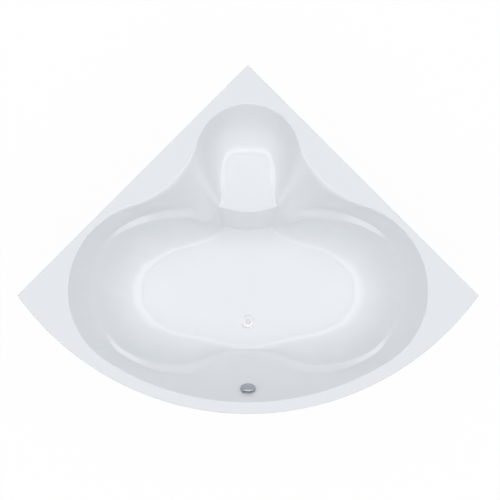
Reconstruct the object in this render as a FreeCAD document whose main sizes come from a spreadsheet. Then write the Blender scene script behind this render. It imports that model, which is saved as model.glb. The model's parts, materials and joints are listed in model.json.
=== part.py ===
import FreeCAD, Part
import math
import os
from FreeCAD import Placement, Rotation, Vector

# Corner bathtub for a right-angled room corner: an acrylic shell with a seat in the back corner,
# a base board, a welded cradle of square tube on screw feet, a bowed front panel, and a pop-up
# waste that is worked by the overflow knob.
# Frame: X across the room corner, +Y towards the back corner, +Z up, origin on the floor at the
# middle of the plan. "Reach" is a distance from the back corner along the centre line.

doc = FreeCAD.newDocument("corner_bathtub")
sheet = doc.addObject("Spreadsheet::Sheet", "sizes")

DRIVING_SIZES = [
    # the whole
    ("side_length", 1500.0, "straight side, from the back corner to a front corner"),
    ("front_reach", 1605.0, "back corner to the middle of the bowed front"),
    ("rim_height", 620.0, "floor to the top of the rim"),
    # acrylic shell
    ("wall_thickness", 6.0, "acrylic with its laminate"),
    ("basin_depth", 430.0, "rim to the basin floor"),
    ("seat_depth", 185.0, "rim to the seat and the arm ledges"),
    ("lip_drop", 42.0, "height of the turned-down rim edge"),
    ("lip_thickness", 6.0, "thickness of the turned-down edge"),
    ("end_deck", 232.0, "half width left outside the widest point of the opening"),
    ("end_set_back", 20.0, "widest point, towards the back from the front corners"),
    ("end_radius", 402.0, "opening radius at its two ends"),
    ("shoulder_radius", 425.0, "hollow bend between an end and the seat"),
    ("seat_centre", 423.0, "reach of the seat circle's centre"),
    ("seat_radius", 244.0, "radius of the seat circle at the rim"),
    ("front_deck", 53.0, "deck width at the middle of the front"),
    ("front_turn_ratio", 1.04, "turn of the wide front bend to the slope of its quarter"),
    ("end_batter", 93.0, "lean of the upper end wall"),
    ("front_batter", 100.0, "lean of the upper front wall"),
    ("flank_start", 300.0, "where the back flank starts to bend, from the centre line"),
    ("ledge_reach", 672.0, "reach of the arm ledge's outer edge"),
    ("end_angle", 39.0, "turn of the tight bend at each end of the back"),
    ("ledge_width", 44.0, "arm ledge at its widest"),
    ("ledge_end_width", 20.0, "arm ledge at the ends"),
    ("ledge_front_width", 27.0, "arm ledge along the front"),
    ("ledge_bow_radius", 1900.0, "slight bow of the ledge beside the seat"),
    ("ledge_bow_angle", 3.0, "turn of that bow"),
    ("ledge_bow_inner", 1500.0, "the same bow on the well side"),
    ("seat_nook_radius", 62.0, "inner corner between ledge and seat side"),
    ("seat_nook_angle", 80.0, "turn of that corner"),
    ("seat_side_length", 176.0, "straight side of the seat"),
    ("seat_corner_radius", 50.0, "back corners of the seat"),
    ("riser_nook_radius", 45.0, "inner corner between ledge and riser"),
    ("riser_nook_angle", 62.0, "turn of that corner"),
    ("riser_side_length", 15.0, "straight stretch of the riser's side"),
    ("riser_corner_radius", 30.0, "front corner of the seat"),
    ("riser_corner_angle", 77.0, "turn of that corner"),
    ("backrest_run", 223.0, "run of the backrest below the ledge"),
    ("flank_run", 126.0, "run of the back flank below the ledge"),
    ("front_run", 114.0, "run of the front wall below the ledge"),
    ("foot_bow_radius", 560.0, "bow of the floor's back edge"),
    ("foot_bow_angle", 16.0, "turn of that bow"),
    ("foot_nook_radius", 30.0, "floor corner beside the riser"),
    ("foot_nook_angle", 59.0, "turn of that corner"),
    ("foot_side_length", 35.0, "straight stretch beside the riser's foot"),
    ("foot_corner_radius", 25.0, "front corner of the riser's foot"),
    ("foot_corner_angle", 83.0, "turn of that corner"),
    ("wall_band_count", 3.0, "ruled bands in each wall"),
    ("seat_hollow_ratio", 0.87, "hollowness of the seat's back, from 0, straight, to 1, round"),
    ("well_hollow_ratio", 0.82, "hollowness of the well's walls"),
    # boards
    ("board_thickness", 16.0, "chipboard under floor and seat"),
    ("board_half_width", 430.0, "half of the base board"),
    ("board_half_end", 250.0, "half of its shorter edges"),
    ("board_back", 875.0, "reach of its back edge"),
    ("board_inset", 71.0, "its front edge, behind the floor's front edge"),
    ("board_cut", 85.0, "depth of its cut corners"),
    ("board_hole_radius", 62.0, "opening for the waste"),
    ("seat_board_width", 180.0, "board under the seat"),
    ("seat_board_length", 200.0, "board under the seat, front to back"),
    ("seat_board_back", 425.0, "reach of its back edge"),
    # steel cradle
    ("tube_width", 25.0, "square tube"),
    ("tube_wall", 2.0, "wall of the tube"),
    ("side_arm_length", 53.4, "arms between the front rail and the side blocks"),
    ("front_rail_half", 945.0, "half length of the front rail"),
    ("back_rail_reach", 900.0, "reach of the back rail's axis"),
    ("back_rail_half", 420.0, "half length of the back rail"),
    ("arm_offset", 350.0, "arms and ties, from the centre line"),
    ("arm_gap", 7.0, "space between an arm's end and the front panel"),
    ("side_arm_gap", 30.0, "space between a side arm's end and the front panel"),
    ("corner_post_reach", 112.0, "reach of the corner post"),
    ("seat_post_reach", 525.0, "reach of the seat post"),
    ("cap_width", 27.0, "plastic post cap"),
    ("cap_height", 14.0, "cap between post and rim"),
    ("cap_spigot", 24.0, "spigot of the cap inside the post"),
    ("cap_clearance", 0.2, "around the spigot"),
    # screw feet
    ("rod_radius", 6.0, "M12 foot rod"),
    ("rod_clearance", 0.08, "rod in its nuts"),
    ("rod_hole_clearance", 0.8, "rod in the tube walls"),
    ("rod_above_rail", 30.0, "rod end above the rail"),
    ("rod_seat", 6.0, "bottom of the rod above the floor"),
    ("pad_radius", 30.0, "foot pad on the floor"),
    ("pad_neck_flats", 22.0, "across the flats of the pad's hexagonal neck"),
    ("pad_base", 7.0, "height of the pad's round base"),
    ("pad_height", 24.0, "height of the foot pad"),
    ("nut_flats", 18.0, "across the flats of the nuts"),
    ("nut_height", 10.0, "height of the nuts"),
    ("corner_foot_reach", 300.0, "reach of the back foot"),
    ("side_foot_offset", 800.0, "side feet, from the centre line"),
    ("front_foot_inset", 77.7, "front feet, behind the ends of their arms"),
    # front panel
    ("panel_thickness", 4.0, "bowed acrylic panel"),
    ("panel_gap", 2.0, "panel inside the turned-down edge and under the deck"),
    ("panel_foot_gap", 25.0, "panel above the floor"),
    ("panel_flange", 20.0, "inward flange along the panel's foot"),
    ("clip_width", 25.0, "distance block behind the panel"),
    ("clip_height", 30.0, "distance block behind the panel"),
    ("upper_clip_drop", 65.0, "middle of the upper blocks, below the tops of the posts"),
    # waste in the floor
    ("waste_gap_ratio", 0.2838, "free space behind the waste, of all between rail and wall"),
    ("waste_hole_radius", 26.0, "hole in the shell"),
    ("strainer_rim_radius", 32.0, "waste flange on the basin floor"),
    ("strainer_rim_height", 3.0, "waste flange"),
    ("strainer_radius", 24.0, "outside of the flange's tube"),
    ("strainer_bore", 21.0, "bore of the flange's tube"),
    ("strainer_length", 32.0, "length of the flange's tube below the floor"),
    ("guide_radius", 7.0, "hub that guides the plug's stem"),
    ("guide_height", 6.0, "hub and its bar"),
    ("guide_bar", 3.0, "width of the bar that carries the hub"),
    ("gasket_thickness", 3.0, "rubber rings behind the shell"),
    ("gasket_radius", 35.0, "rubber rings, outside"),
    ("housing_radius", 38.0, "waste housing"),
    ("housing_wall", 3.5, "waste housing"),
    ("housing_height", 62.0, "waste housing"),
    ("spout_radius", 20.0, "drain tubes, outside"),
    ("spout_bore", 17.5, "drain tubes, bore"),
    ("spout_length", 80.0, "outlet pipe under the waste housing, down into the trap"),
    ("port_radius", 15.0, "hose nipples, outside"),
    ("port_bore", 12.5, "hose nipples, bore"),
    ("port_length", 26.0, "hose nipples"),
    ("port_drop", 33.0, "side nipple below the housing's top"),
    ("plug_radius", 23.0, "plug cover"),
    ("plug_height", 4.0, "plug cover"),
    ("plug_gap", 0.3, "plug cover above the flange"),
    ("plug_seal_radius", 20.6, "rubber ring of the plug"),
    ("plug_seal_height", 3.0, "rubber ring of the plug"),
    ("stem_radius", 4.0, "stem of the plug"),
    ("stem_length", 44.0, "stem of the plug"),
    ("stem_clearance", 0.08, "stem in its guide, knob spindle in its bore"),
    # bottle trap
    ("trap_gap", 7.0, "waste housing to the top of the trap"),
    ("trap_radius", 34.0, "trap body"),
    ("trap_height", 84.0, "trap body"),
    ("trap_wall", 3.0, "walls of the trap"),
    ("trap_union_radius", 27.0, "ring nut between housing and trap"),
    ("pipe_clearance", 0.2, "around the drain pipes"),
    ("cup_height", 14.0, "screwed cup that closes the trap's foot"),
    ("cup_clearance", 0.2, "cup around the trap body"),
    ("outlet_drop", 24.0, "outlet's axis below the top of the trap"),
    ("outlet_nipple", 54.0, "trap axis to the end of its outlet"),
    ("outlet_nipple_radius", 19.4, "threaded end that the outlet's nut is on"),
    ("outlet_angle", 20.0, "outlet, turned from the back corner to clear the back foot"),
    ("outlet_length", 170.0, "drain outlet pipe"),
    ("union_radius", 26.0, "nut around the outlet"),
    ("union_height", 18.0, "nut around the outlet"),
    ("union_gap", 1.0, "nut, behind the end of the nipple"),
    # overflow in the front wall
    ("overflow_drop", 100.0, "overflow below the rim"),
    ("overflow_hole_radius", 26.0, "hole in the front wall"),
    ("collar_rim_radius", 31.0, "overflow collar on the wall"),
    ("collar_rim_height", 3.0, "overflow collar on the wall"),
    ("collar_radius", 24.0, "outside of the collar's tube"),
    ("collar_bore", 21.0, "bore of the collar's tube"),
    ("collar_seat", 0.45, "collar above the bowed wall's middle"),
    ("overflow_slack", 0.05, "overflow's rubber ring behind the bowed wall"),
    ("overflow_radius", 30.0, "overflow housing"),
    ("overflow_depth", 34.0, "overflow housing"),
    ("knob_radius", 35.0, "overflow knob"),
    ("knob_height", 14.0, "overflow knob"),
    ("knob_wall", 2.5, "overflow knob"),
    ("knob_gap", 2.0, "knob above the wall"),
    ("spindle_radius", 5.0, "spindle of the knob"),
    ("hose_wall", 2.5, "overflow hose"),
    ("hose_fit", 0.1, "hose around its nipples"),
    ("hose_stop", 1.0, "hose ends, clear of the housings"),
    ("hose_bend", 110.0, "bend of the hose, on its axis"),
]

for row, (alias, value, meaning) in enumerate(DRIVING_SIZES, start=1):
    sheet.set("A%d" % row, meaning)
    sheet.set("B%d" % row, str(value))
    sheet.setAlias("B%d" % row, alias)
doc.recompute()


def size(alias):
    return float(sheet.get(alias))


# ---------------------------------------------------------------- expressions used more than once
HALF_SPAN = "(sizes.side_length / sqrt(2))"
FRONT_RISE = "(sizes.front_reach - %s)" % HALF_SPAN
BOW_RADIUS = "((%s^2 + %s^2) / (2 * %s))" % (HALF_SPAN, FRONT_RISE, FRONT_RISE)
BOW_REACH = "(sizes.front_reach - %s)" % BOW_RADIUS
PANEL_OUTSIDE = "(%s - sizes.lip_thickness - sizes.panel_gap)" % BOW_RADIUS
PANEL_INSIDE = "(%s - sizes.panel_thickness)" % PANEL_OUTSIDE
DECK_UNDERSIDE = "(sizes.rim_height - sizes.wall_thickness)"
FLOOR_TOP = "(sizes.rim_height - sizes.basin_depth)"
FLOOR_UNDERSIDE = "(%s - sizes.wall_thickness)" % FLOOR_TOP
BOARD_UNDERSIDE = "(%s - sizes.board_thickness)" % FLOOR_UNDERSIDE
RAIL_UNDERSIDE = "(%s - sizes.tube_width)" % BOARD_UNDERSIDE
SEAT_BOARD_UNDERSIDE = "(%s - sizes.seat_depth - sizes.board_thickness)" % DECK_UNDERSIDE
FLOOR_FRONT = ("(sizes.front_reach - sizes.front_deck - sizes.front_batter"
               " - sizes.ledge_front_width - sizes.front_run)")
POST_TOP = "(%s - sizes.cap_height)" % DECK_UNDERSIDE
SIDE_OFFSET = "(sizes.front_rail_half - sizes.tube_width / 2)"


def reach_y(reach):
    """Y of a point that lies at this reach from the back corner."""
    return "sizes.front_reach / 2 - (%s)" % reach


def panel_inside_y(offset):
    """Y of the panel's inner face at this distance from the centre line."""
    return "(%s)" % reach_y("%s + sqrt(%s^2 - (%s)^2)" % (BOW_REACH, PANEL_INSIDE, offset))


HALF_TUBE = "sizes.tube_width / 2"
SIDE_ARM_END_Y = "(%s + sizes.side_arm_gap)" % panel_inside_y(SIDE_OFFSET)
FRONT_RAIL_Y = "(%s + sizes.side_arm_length + %s)" % (SIDE_ARM_END_Y, HALF_TUBE)
RAIL_FRONT = "(%s + %s)" % (reach_y(FRONT_RAIL_Y), HALF_TUBE)
WASTE_ROOM = "(%s - %s - sizes.housing_radius - sizes.strainer_rim_radius)" % (FLOOR_FRONT,
                                                                               RAIL_FRONT)
WASTE_REACH = "(%s + sizes.housing_radius + sizes.waste_gap_ratio * %s)" % (RAIL_FRONT, WASTE_ROOM)


def bind(obj, at=None, **bound):
    """Ties properties, and the place of the object's origin, to the size table."""
    for name, text in bound.items():
        obj.setExpression(name, str(text))
    for axis, text in zip("xyz", at or ()):
        obj.setExpression("Placement.Base." + axis, str(text))
    return obj


def box(name, length, width, height, at):
    """Box whose place is its corner with the lowest coordinates."""
    return bind(doc.addObject("Part::Box", name), at, Length=length, Width=width, Height=height)


def rod(name, radius, height, at=None):
    """Upright cylinder."""
    return bind(doc.addObject("Part::Cylinder", name), at, Radius=radius, Height=height)


def cut(name, base, *tools):
    obj = doc.addObject("Part::Cut", name)
    obj.Base = base
    obj.Tool = tools[0] if len(tools) == 1 else fuse(name + "_tools", *tools)
    return obj


def fuse(name, *pieces):
    obj = doc.addObject("Part::MultiFuse", name)
    obj.Shapes = list(pieces)
    return obj


def separate(name, *pieces):
    """Several solids that stay apart in one node."""
    obj = doc.addObject("Part::Compound", name)
    obj.Links = list(pieces)
    return obj


def extrude(name, sketch, height):
    obj = doc.addObject("Part::Extrusion", name)
    obj.Base = sketch
    obj.DirMode = "Custom"
    obj.Dir = Vector(0, 0, 1)
    obj.Solid = True
    return bind(obj, LengthFwd=height)


parts = []


def sub_part(obj, label):
    obj.Label = label
    parts.append(obj)
    return obj


# ---------------------------------------------------------------- outlines of the shell
HALF_WIDTH = size("side_length") / math.sqrt(2)
REACH = size("front_reach")
TOWARDS_BACK = 1
TOWARDS_FRONT = -1
# each stretch of the opening lies over one stretch of the ledge's outline
END_SHARES = 0.75, 0.25
SEAT_SHARES = 0.25, 0.55, 0.20


class Pen:
    """Draws the right half of an outline, from its widest point to the centre line.

    A point is (distance from the centre line, reach). The heading is an angle that starts at a
    right angle, along the length of the side, and ends at zero, square to the centre line.
    """

    def __init__(self, start, side):
        self.point = start
        self.side = side
        self.angle = math.pi / 2
        self.stretches = []

    def outward(self, angle):
        return math.sin(angle), -self.side * math.cos(angle)

    def arc(self, radius, degrees):
        """Bend; a hollow bend has a negative radius and a negative turn."""
        first = self.angle
        last = first - math.radians(degrees)
        out = self.outward(first)
        centre = self.point[0] - out[0] * radius, self.point[1] - out[1] * radius
        stops = []
        normals = []
        for angle in (first, (first + last) / 2, last):
            normal = self.outward(angle)
            stops.append((centre[0] + normal[0] * radius, centre[1] + normal[1] * radius))
            normals.append(normal)
        self.stretches.append((stops, normals))
        self.point = stops[-1]
        self.angle = last

    def line(self, length):
        heading = -math.cos(self.angle), -self.side * math.sin(self.angle)
        stops = []
        for share in (0.0, 0.5, 1.0):
            run = length * share
            stops.append((self.point[0] + heading[0] * run, self.point[1] + heading[1] * run))
        self.stretches.append((stops, [self.outward(self.angle)] * 3))
        self.point = stops[-1]

    def quarter(self, end, tight_degrees=None):
        """Two tangent bends from a heading along the side to one square to the centre line."""
        width = self.point[0] - end[0]
        depth = abs(self.point[1] - end[1])
        if tight_degrees is None:
            slope = math.degrees(math.atan2(depth, width))
            tight_degrees = 90 - size("front_turn_ratio") * slope
        sine = math.sin(math.radians(tight_degrees))
        cosine = math.cos(math.radians(tight_degrees))
        share = 1 - sine - cosine
        self.arc((width * (1 - sine) - depth * cosine) / share, tight_degrees)
        self.arc(((1 - cosine) * depth - width * sine) / share, 90 - tight_degrees)

    def close(self):
        """Last stretch, up to the centre line and square to it."""
        if abs(self.angle) < 1e-9:
            self.line(self.point[0])
        else:
            self.arc(self.point[0] / math.sin(self.angle), math.degrees(self.angle))


def front_half(start, apex):
    """The flatter the quarter, the tighter its first bend."""
    pen = Pen(start, TOWARDS_FRONT)
    pen.quarter((0.0, apex))
    return pen.stretches


def opening_outline():
    """Opening in the deck: two round ends, the hollow shoulders and the seat's circle."""
    start = HALF_WIDTH - size("end_deck"), HALF_WIDTH - size("end_set_back")
    end_radius, bend_radius = size("end_radius"), size("shoulder_radius")
    seat_radius = size("seat_radius")
    end_centre = start[0] - end_radius, start[1]
    seat_centre = 0.0, size("seat_centre")
    # the shoulder's centre lies outside the opening and touches both circles
    across = end_centre[0] - seat_centre[0], end_centre[1] - seat_centre[1]
    apart = math.hypot(*across)
    to_seat = seat_radius + bend_radius
    to_end = end_radius + bend_radius
    along = (to_seat**2 - to_end**2 + apart**2) / (2 * apart)
    aside = math.sqrt(to_seat**2 - along**2)
    unit = across[0] / apart, across[1] / apart
    bend_centre = (seat_centre[0] + along * unit[0] + aside * unit[1],
                   seat_centre[1] + along * unit[1] - aside * unit[0])
    end_angle = math.degrees(math.atan2(bend_centre[0] - end_centre[0],
                                        end_centre[1] - bend_centre[1]))
    seat_angle = math.degrees(math.atan2(bend_centre[0] - seat_centre[0],
                                         seat_centre[1] - bend_centre[1]))
    pen = Pen(start, TOWARDS_BACK)
    pen.arc(end_radius, size("end_angle"))
    wide_turn = 90 - size("end_angle") - end_angle
    for share in END_SHARES:
        pen.arc(end_radius, wide_turn * share)
    pen.arc(-bend_radius, end_angle - seat_angle)
    for share in SEAT_SHARES:
        pen.arc(seat_radius, seat_angle * share)
    front = front_half(start, REACH - size("front_deck"))
    return pen.stretches, front


def ledge_outline():
    """Foot of the upper walls: the arm ledges' outer edge and the seat."""
    start = (HALF_WIDTH - size("end_deck") - size("end_batter"),
             HALF_WIDTH - size("end_set_back"))
    pen = Pen(start, TOWARDS_BACK)
    pen.quarter((size("flank_start"), size("ledge_reach")), size("end_angle"))
    pen.arc(-size("ledge_bow_radius"), -size("ledge_bow_angle"))
    pen.arc(-size("seat_nook_radius"), -size("seat_nook_angle"))
    pen.line(size("seat_side_length"))
    pen.arc(size("seat_corner_radius"), size("ledge_bow_angle") + size("seat_nook_angle"))
    pen.close()
    apex = REACH - size("front_deck") - size("front_batter")
    return pen.stretches, front_half(start, apex)


def well_outline():
    """Top of the well: the arm ledges' inner edge and the seat's front edge."""
    start = (HALF_WIDTH - size("end_deck") - size("end_batter") - size("ledge_end_width"),
             HALF_WIDTH - size("end_set_back"))
    pen = Pen(start, TOWARDS_BACK)
    pen.quarter((size("flank_start"), size("ledge_reach") + size("ledge_width")),
                size("end_angle"))
    pen.arc(-size("ledge_bow_inner"), -size("ledge_bow_angle"))
    pen.arc(-size("riser_nook_radius"), -size("riser_nook_angle"))
    pen.line(size("riser_side_length"))
    pen.arc(size("riser_corner_radius"), size("riser_corner_angle"))
    pen.close()
    apex = REACH - size("front_deck") - size("front_batter") - size("ledge_front_width")
    return pen.stretches, front_half(start, apex)


def floor_front():
    """Reach of the floor's front edge on the centre line."""
    return (REACH - size("front_deck") - size("front_batter") - size("ledge_front_width")
            - size("front_run"))


def floor_outline():
    """Edge of the basin floor."""
    start = (HALF_WIDTH - size("end_deck") - size("end_batter") - size("ledge_end_width")
             - size("backrest_run"), HALF_WIDTH - size("end_set_back"))
    pen = Pen(start, TOWARDS_BACK)
    flank = size("ledge_reach") + size("ledge_width") + size("flank_run")
    pen.quarter((size("flank_start"), flank), size("end_angle"))
    pen.arc(-size("foot_bow_radius"), -size("foot_bow_angle"))
    pen.arc(-size("foot_nook_radius"), -size("foot_nook_angle"))
    pen.line(size("foot_side_length"))
    pen.arc(size("foot_corner_radius"), size("foot_corner_angle"))
    pen.close()
    return pen.stretches, front_half(start, floor_front())


SHOULDER = 3


def between(upper, lower, share, seat_share):
    """Outline part of the way from one outline to another. The seat's side may lag behind."""
    mixed = []
    for half, (upper_half, lower_half) in enumerate(zip(upper, lower)):
        stretches = []
        for count, (high, low) in enumerate(zip(upper_half, lower_half)):
            shares = [share] * 3
            if half == 0 and count == SHOULDER:
                shares = [share, (share + seat_share) / 2, seat_share]
            elif half == 0 and count > SHOULDER:
                shares = [seat_share] * 3
            rows = []
            for first, second in zip(high, low):
                rows.append([(a[0] + (b[0] - a[0]) * part, a[1] + (b[1] - a[1]) * part)
                             for a, b, part in zip(first, second, shares)])
            stretches.append(tuple(rows))
        mixed.append(stretches)
    return mixed


def outline_sketch(name, outline, growth, height):
    """Closed outline, mirrored about the centre line and grown sideways."""
    sketch = doc.addObject("Sketcher::SketchObject", name)
    edges = []

    def place(stop, normal, side):
        length = math.hypot(*normal)
        away = stop[0] + normal[0] / length * growth
        along = stop[1] + normal[1] / length * growth
        return Vector(0.0 if away < 1e-6 else side * away, REACH / 2 - along, 0)

    def draw(stretch, side, backwards):
        first, middle, last = [place(s, n, side) for s, n in zip(*stretch)]
        if backwards:
            first, last = last, first
        if (middle - (first + last) * 0.5).Length < 1e-4:
            edges.append(Part.LineSegment(first, last))
        else:
            edges.append(Part.Arc(first, middle, last))

    back, front = outline
    for stretch in back:
        draw(stretch, 1, False)
    for stretch in reversed(back):
        draw(stretch, -1, True)
    for stretch in front:
        draw(stretch, -1, False)
    for stretch in reversed(front):
        draw(stretch, 1, True)
    sketch.addGeometry(edges, False)
    return bind(sketch, ("0", "0", height))


def corner_point(side_inset, front_inset):
    """Where a line inside a straight side meets a circle inside the bowed front."""
    rise = REACH - HALF_WIDTH
    bow_radius = (HALF_WIDTH**2 + rise**2) / (2 * rise)
    bow_reach = REACH - bow_radius
    radius = bow_radius - front_inset
    # the side runs at 45 degrees: reach = distance from the centre line + shift
    shift = side_inset * math.sqrt(2)
    middle = (bow_reach - shift) / 2
    away = middle + math.sqrt(radius**2 / 2 - middle**2)
    return away, away + shift, radius, bow_reach


def plan_point(away, reach):
    return Vector(away, REACH / 2 - reach, 0)


def rim_sketch(name, inset, height):
    """Outline of the whole bath, moved inwards."""
    away, reach, radius, bow_reach = corner_point(inset, inset)
    tip = plan_point(0, inset * math.sqrt(2))
    right, left = plan_point(away, reach), plan_point(-away, reach)
    apex = plan_point(0, bow_reach + radius)
    sketch = doc.addObject("Sketcher::SketchObject", name)
    sketch.addGeometry([Part.LineSegment(tip, right), Part.Arc(right, apex, left),
                        Part.LineSegment(left, tip)], False)
    return bind(sketch, ("0", "0", height))


# ---------------------------------------------------------------- bath shell
OPENING, LEDGE, WELL, FLOOR = opening_outline(), ledge_outline(), well_outline(), floor_outline()
STRAIGHT = 0.0


def hollow_share(step, hollow):
    """Run of a wall at this share of its height: even if straight, late if it is hollow."""
    return (1 - hollow) * step + hollow * (1 - math.sqrt(1 - step**2))


def wall_loft(name, upper, lower, top, drop, growth, hollow, seat_hollow):
    """Walls from one outline down to another, as ruled bands between level sections."""
    bands = int(size("wall_band_count"))
    sections = []
    for count in range(bands + 1):
        step = count / bands
        share = hollow_share(step, hollow)
        outline = between(upper, lower, share, hollow_share(step, seat_hollow))
        height = "%s - %s * %r" % (top, drop, step)
        sections.append(outline_sketch("%s_%d" % (name, count), outline, growth, height))
    loft = doc.addObject("Part::Loft", name)
    loft.Sections = sections
    loft.Solid = True
    loft.Ruled = True
    return loft


def basin(name, growth, lowered):
    """The space of the basin: upper walls with the seat, and the well below the ledges."""
    top = "sizes.rim_height - %s" % lowered
    ledge = "sizes.rim_height - sizes.seat_depth - %s" % lowered
    well_drop = "(sizes.basin_depth - sizes.seat_depth)"
    upper = wall_loft(name + "_upper", OPENING, LEDGE, top, "sizes.seat_depth", growth,
                      STRAIGHT, size("seat_hollow_ratio"))
    well = wall_loft(name + "_well", WELL, FLOOR, ledge, well_drop, growth,
                     size("well_hollow_ratio"), size("well_hollow_ratio"))
    return upper, well


def tilted(obj, offset):
    """Sets a piece square to the front wall at the overflow, this far in front of the wall."""
    slope = "atan(sizes.seat_depth / sizes.front_batter)"
    wall_reach = ("sizes.front_reach - sizes.front_deck"
                  " - sizes.front_batter * sizes.overflow_drop / sizes.seat_depth")
    obj.Placement = Placement(Vector(), Rotation(Vector(1, 0, 0), -60))
    obj.setExpression("Placement.Rotation.Angle", "-" + slope)
    bind(obj, ("0", "%s + (%s) * sin(%s)" % (reach_y(wall_reach), offset, slope),
               "sizes.rim_height - sizes.overflow_drop + (%s) * cos(%s)" % (offset, slope)))
    return obj


def bath_shell():
    deck = extrude("deck", rim_sketch("deck_outline", 0.0, DECK_UNDERSIDE), "sizes.wall_thickness")
    lip_foot = "sizes.rim_height - sizes.lip_drop"
    lip = cut("lip",
              extrude("lip_outside", rim_sketch("lip_outline", 0.0, lip_foot), "sizes.lip_drop"),
              extrude("lip_inside", rim_sketch("lip_inner_outline", size("lip_thickness"), lip_foot),
                      "sizes.lip_drop"))
    body = fuse("shell_outside", deck, lip, *basin("outside", size("wall_thickness"),
                                                   "sizes.wall_thickness"))
    mouth = extrude("mouth", outline_sketch("mouth_outline", OPENING, 0.0, "sizes.rim_height"),
                    "sizes.lip_drop")
    space = fuse("shell_space", mouth, *basin("space", 0.0, "0"))
    waste_hole = rod("waste_hole", "sizes.waste_hole_radius", "3 * sizes.wall_thickness",
                     ("0", reach_y(WASTE_REACH), FLOOR_TOP + " - 2 * sizes.wall_thickness"))
    overflow_hole = tilted(rod("overflow_hole", "sizes.overflow_hole_radius",
                               "4 * sizes.wall_thickness"), "-3 * sizes.wall_thickness")
    holes = fuse("shell_holes", waste_hole, overflow_hole)
    sub_part(cut("bath_shell", cut("shell_walls", body, space), holes), "bath_shell")


bath_shell()


# ---------------------------------------------------------------- boards under the shell
def board_sketch():
    """Board with its four corners cut off."""
    wide, cut_back = size("board_half_width"), size("board_cut")
    narrow, back = size("board_half_end"), size("board_back")
    front = floor_front() - size("board_inset")
    right_side = [(narrow, back), (wide, back + cut_back), (wide, front - cut_back),
                  (narrow, front)]
    corners = [plan_point(x, reach) for x, reach in right_side]
    corners += [plan_point(-x, reach) for x, reach in reversed(right_side)]
    sketch = doc.addObject("Sketcher::SketchObject", "board_outline")
    for first, last in zip(corners, corners[1:] + corners[:1]):
        sketch.addGeometry(Part.LineSegment(first, last), False)
    return bind(sketch, ("0", "0", BOARD_UNDERSIDE))


def boards():
    waste_y = reach_y(WASTE_REACH)
    board = extrude("board", board_sketch(), "sizes.board_thickness")
    hole = rod("board_hole", "sizes.board_hole_radius", "3 * sizes.board_thickness",
               ("0", waste_y, BOARD_UNDERSIDE + " - sizes.board_thickness"))
    sub_part(cut("base_board", board, hole), "base_board")
    seat_board = box("seat_board", "sizes.seat_board_width", "sizes.seat_board_length",
                     "sizes.board_thickness",
                     ("-sizes.seat_board_width / 2",
                      reach_y("sizes.seat_board_back + sizes.seat_board_length"),
                      SEAT_BOARD_UNDERSIDE))
    sub_part(seat_board, "seat_board")


# ---------------------------------------------------------------- steel cradle
BORE_WIDTH = "(sizes.tube_width - 2 * sizes.tube_wall)"


def square_tube(name, axis, start, length, holes=()):
    """Hollow square tube along X, Y or Z; start is the middle of its first end."""
    outside, inside = [], []
    out_at, in_at = [], []
    for count, letter in enumerate("xyz"):
        along = letter == axis
        outside.append(length if along else "sizes.tube_width")
        inside.append(length if along else BORE_WIDTH)
        out_at.append(start[count] if along else "%s - %s" % (start[count], HALF_TUBE))
        in_at.append(start[count] if along
                     else "%s - %s + sizes.tube_wall" % (start[count], HALF_TUBE))
    bar = box(name + "_outside", *outside, out_at)
    bore = box(name + "_bore", *inside, in_at)
    return sub_part(cut(name, bar, bore, *holes), name)


RAIL_AXIS = "(%s + %s)" % (RAIL_UNDERSIDE, HALF_TUBE)
BACK_RAIL_Y = "(%s)" % reach_y("sizes.back_rail_reach")
CORNER_POST_Y = "(%s)" % reach_y("sizes.corner_post_reach")
SEAT_POST_Y = "(%s)" % reach_y("sizes.seat_post_reach")


ARM_END_Y = "(%s + sizes.arm_gap)" % panel_inside_y("sizes.arm_offset")
FRONT_FOOT_Y = "(%s + sizes.front_foot_inset)" % ARM_END_Y
FOOT_PLACES = [
    ("corner", "0", reach_y("sizes.corner_foot_reach")),
    ("left", "-sizes.side_foot_offset", FRONT_RAIL_Y),
    ("right", "sizes.side_foot_offset", FRONT_RAIL_Y),
    ("front_left", "-sizes.arm_offset", FRONT_FOOT_Y),
    ("front_right", "sizes.arm_offset", FRONT_FOOT_Y),
]


def rod_hole(place):
    """Hole for a foot's rod through both walls of a rail."""
    name, x, y = place
    return rod("rod_hole_" + name, "sizes.rod_radius + sizes.rod_hole_clearance",
               "3 * sizes.tube_width", (x, y, RAIL_UNDERSIDE + " - sizes.tube_width"))


def cradle():
    corner, left, right, front_left, front_right = [rod_hole(place) for place in FOOT_PLACES]
    square_tube("front_rail", "x", ("-sizes.front_rail_half", FRONT_RAIL_Y, RAIL_AXIS),
                "2 * sizes.front_rail_half", [left, right])
    square_tube("back_rail", "x", ("-sizes.back_rail_half", BACK_RAIL_Y, RAIL_AXIS),
                "2 * sizes.back_rail_half")
    spine_start = "%s + %s" % (BACK_RAIL_Y, HALF_TUBE)
    square_tube("spine_rail", "y", ("0", spine_start, RAIL_AXIS),
                "%s - %s" % (CORNER_POST_Y, BACK_RAIL_Y), [corner])
    for name, sign, hole in (("left", "-", front_left), ("right", "", front_right)):
        x = sign + "sizes.arm_offset"
        square_tube("tie_" + name, "y", (x, "%s + %s" % (FRONT_RAIL_Y, HALF_TUBE), RAIL_AXIS),
                    "%s - %s - sizes.tube_width" % (BACK_RAIL_Y, FRONT_RAIL_Y))
        square_tube("arm_" + name, "y", (x, ARM_END_Y, RAIL_AXIS),
                    "%s - %s - %s" % (FRONT_RAIL_Y, HALF_TUBE, ARM_END_Y), [hole])
        square_tube("side_arm_" + name, "y", (sign + SIDE_OFFSET, SIDE_ARM_END_Y, RAIL_AXIS),
                    "sizes.side_arm_length")


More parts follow.
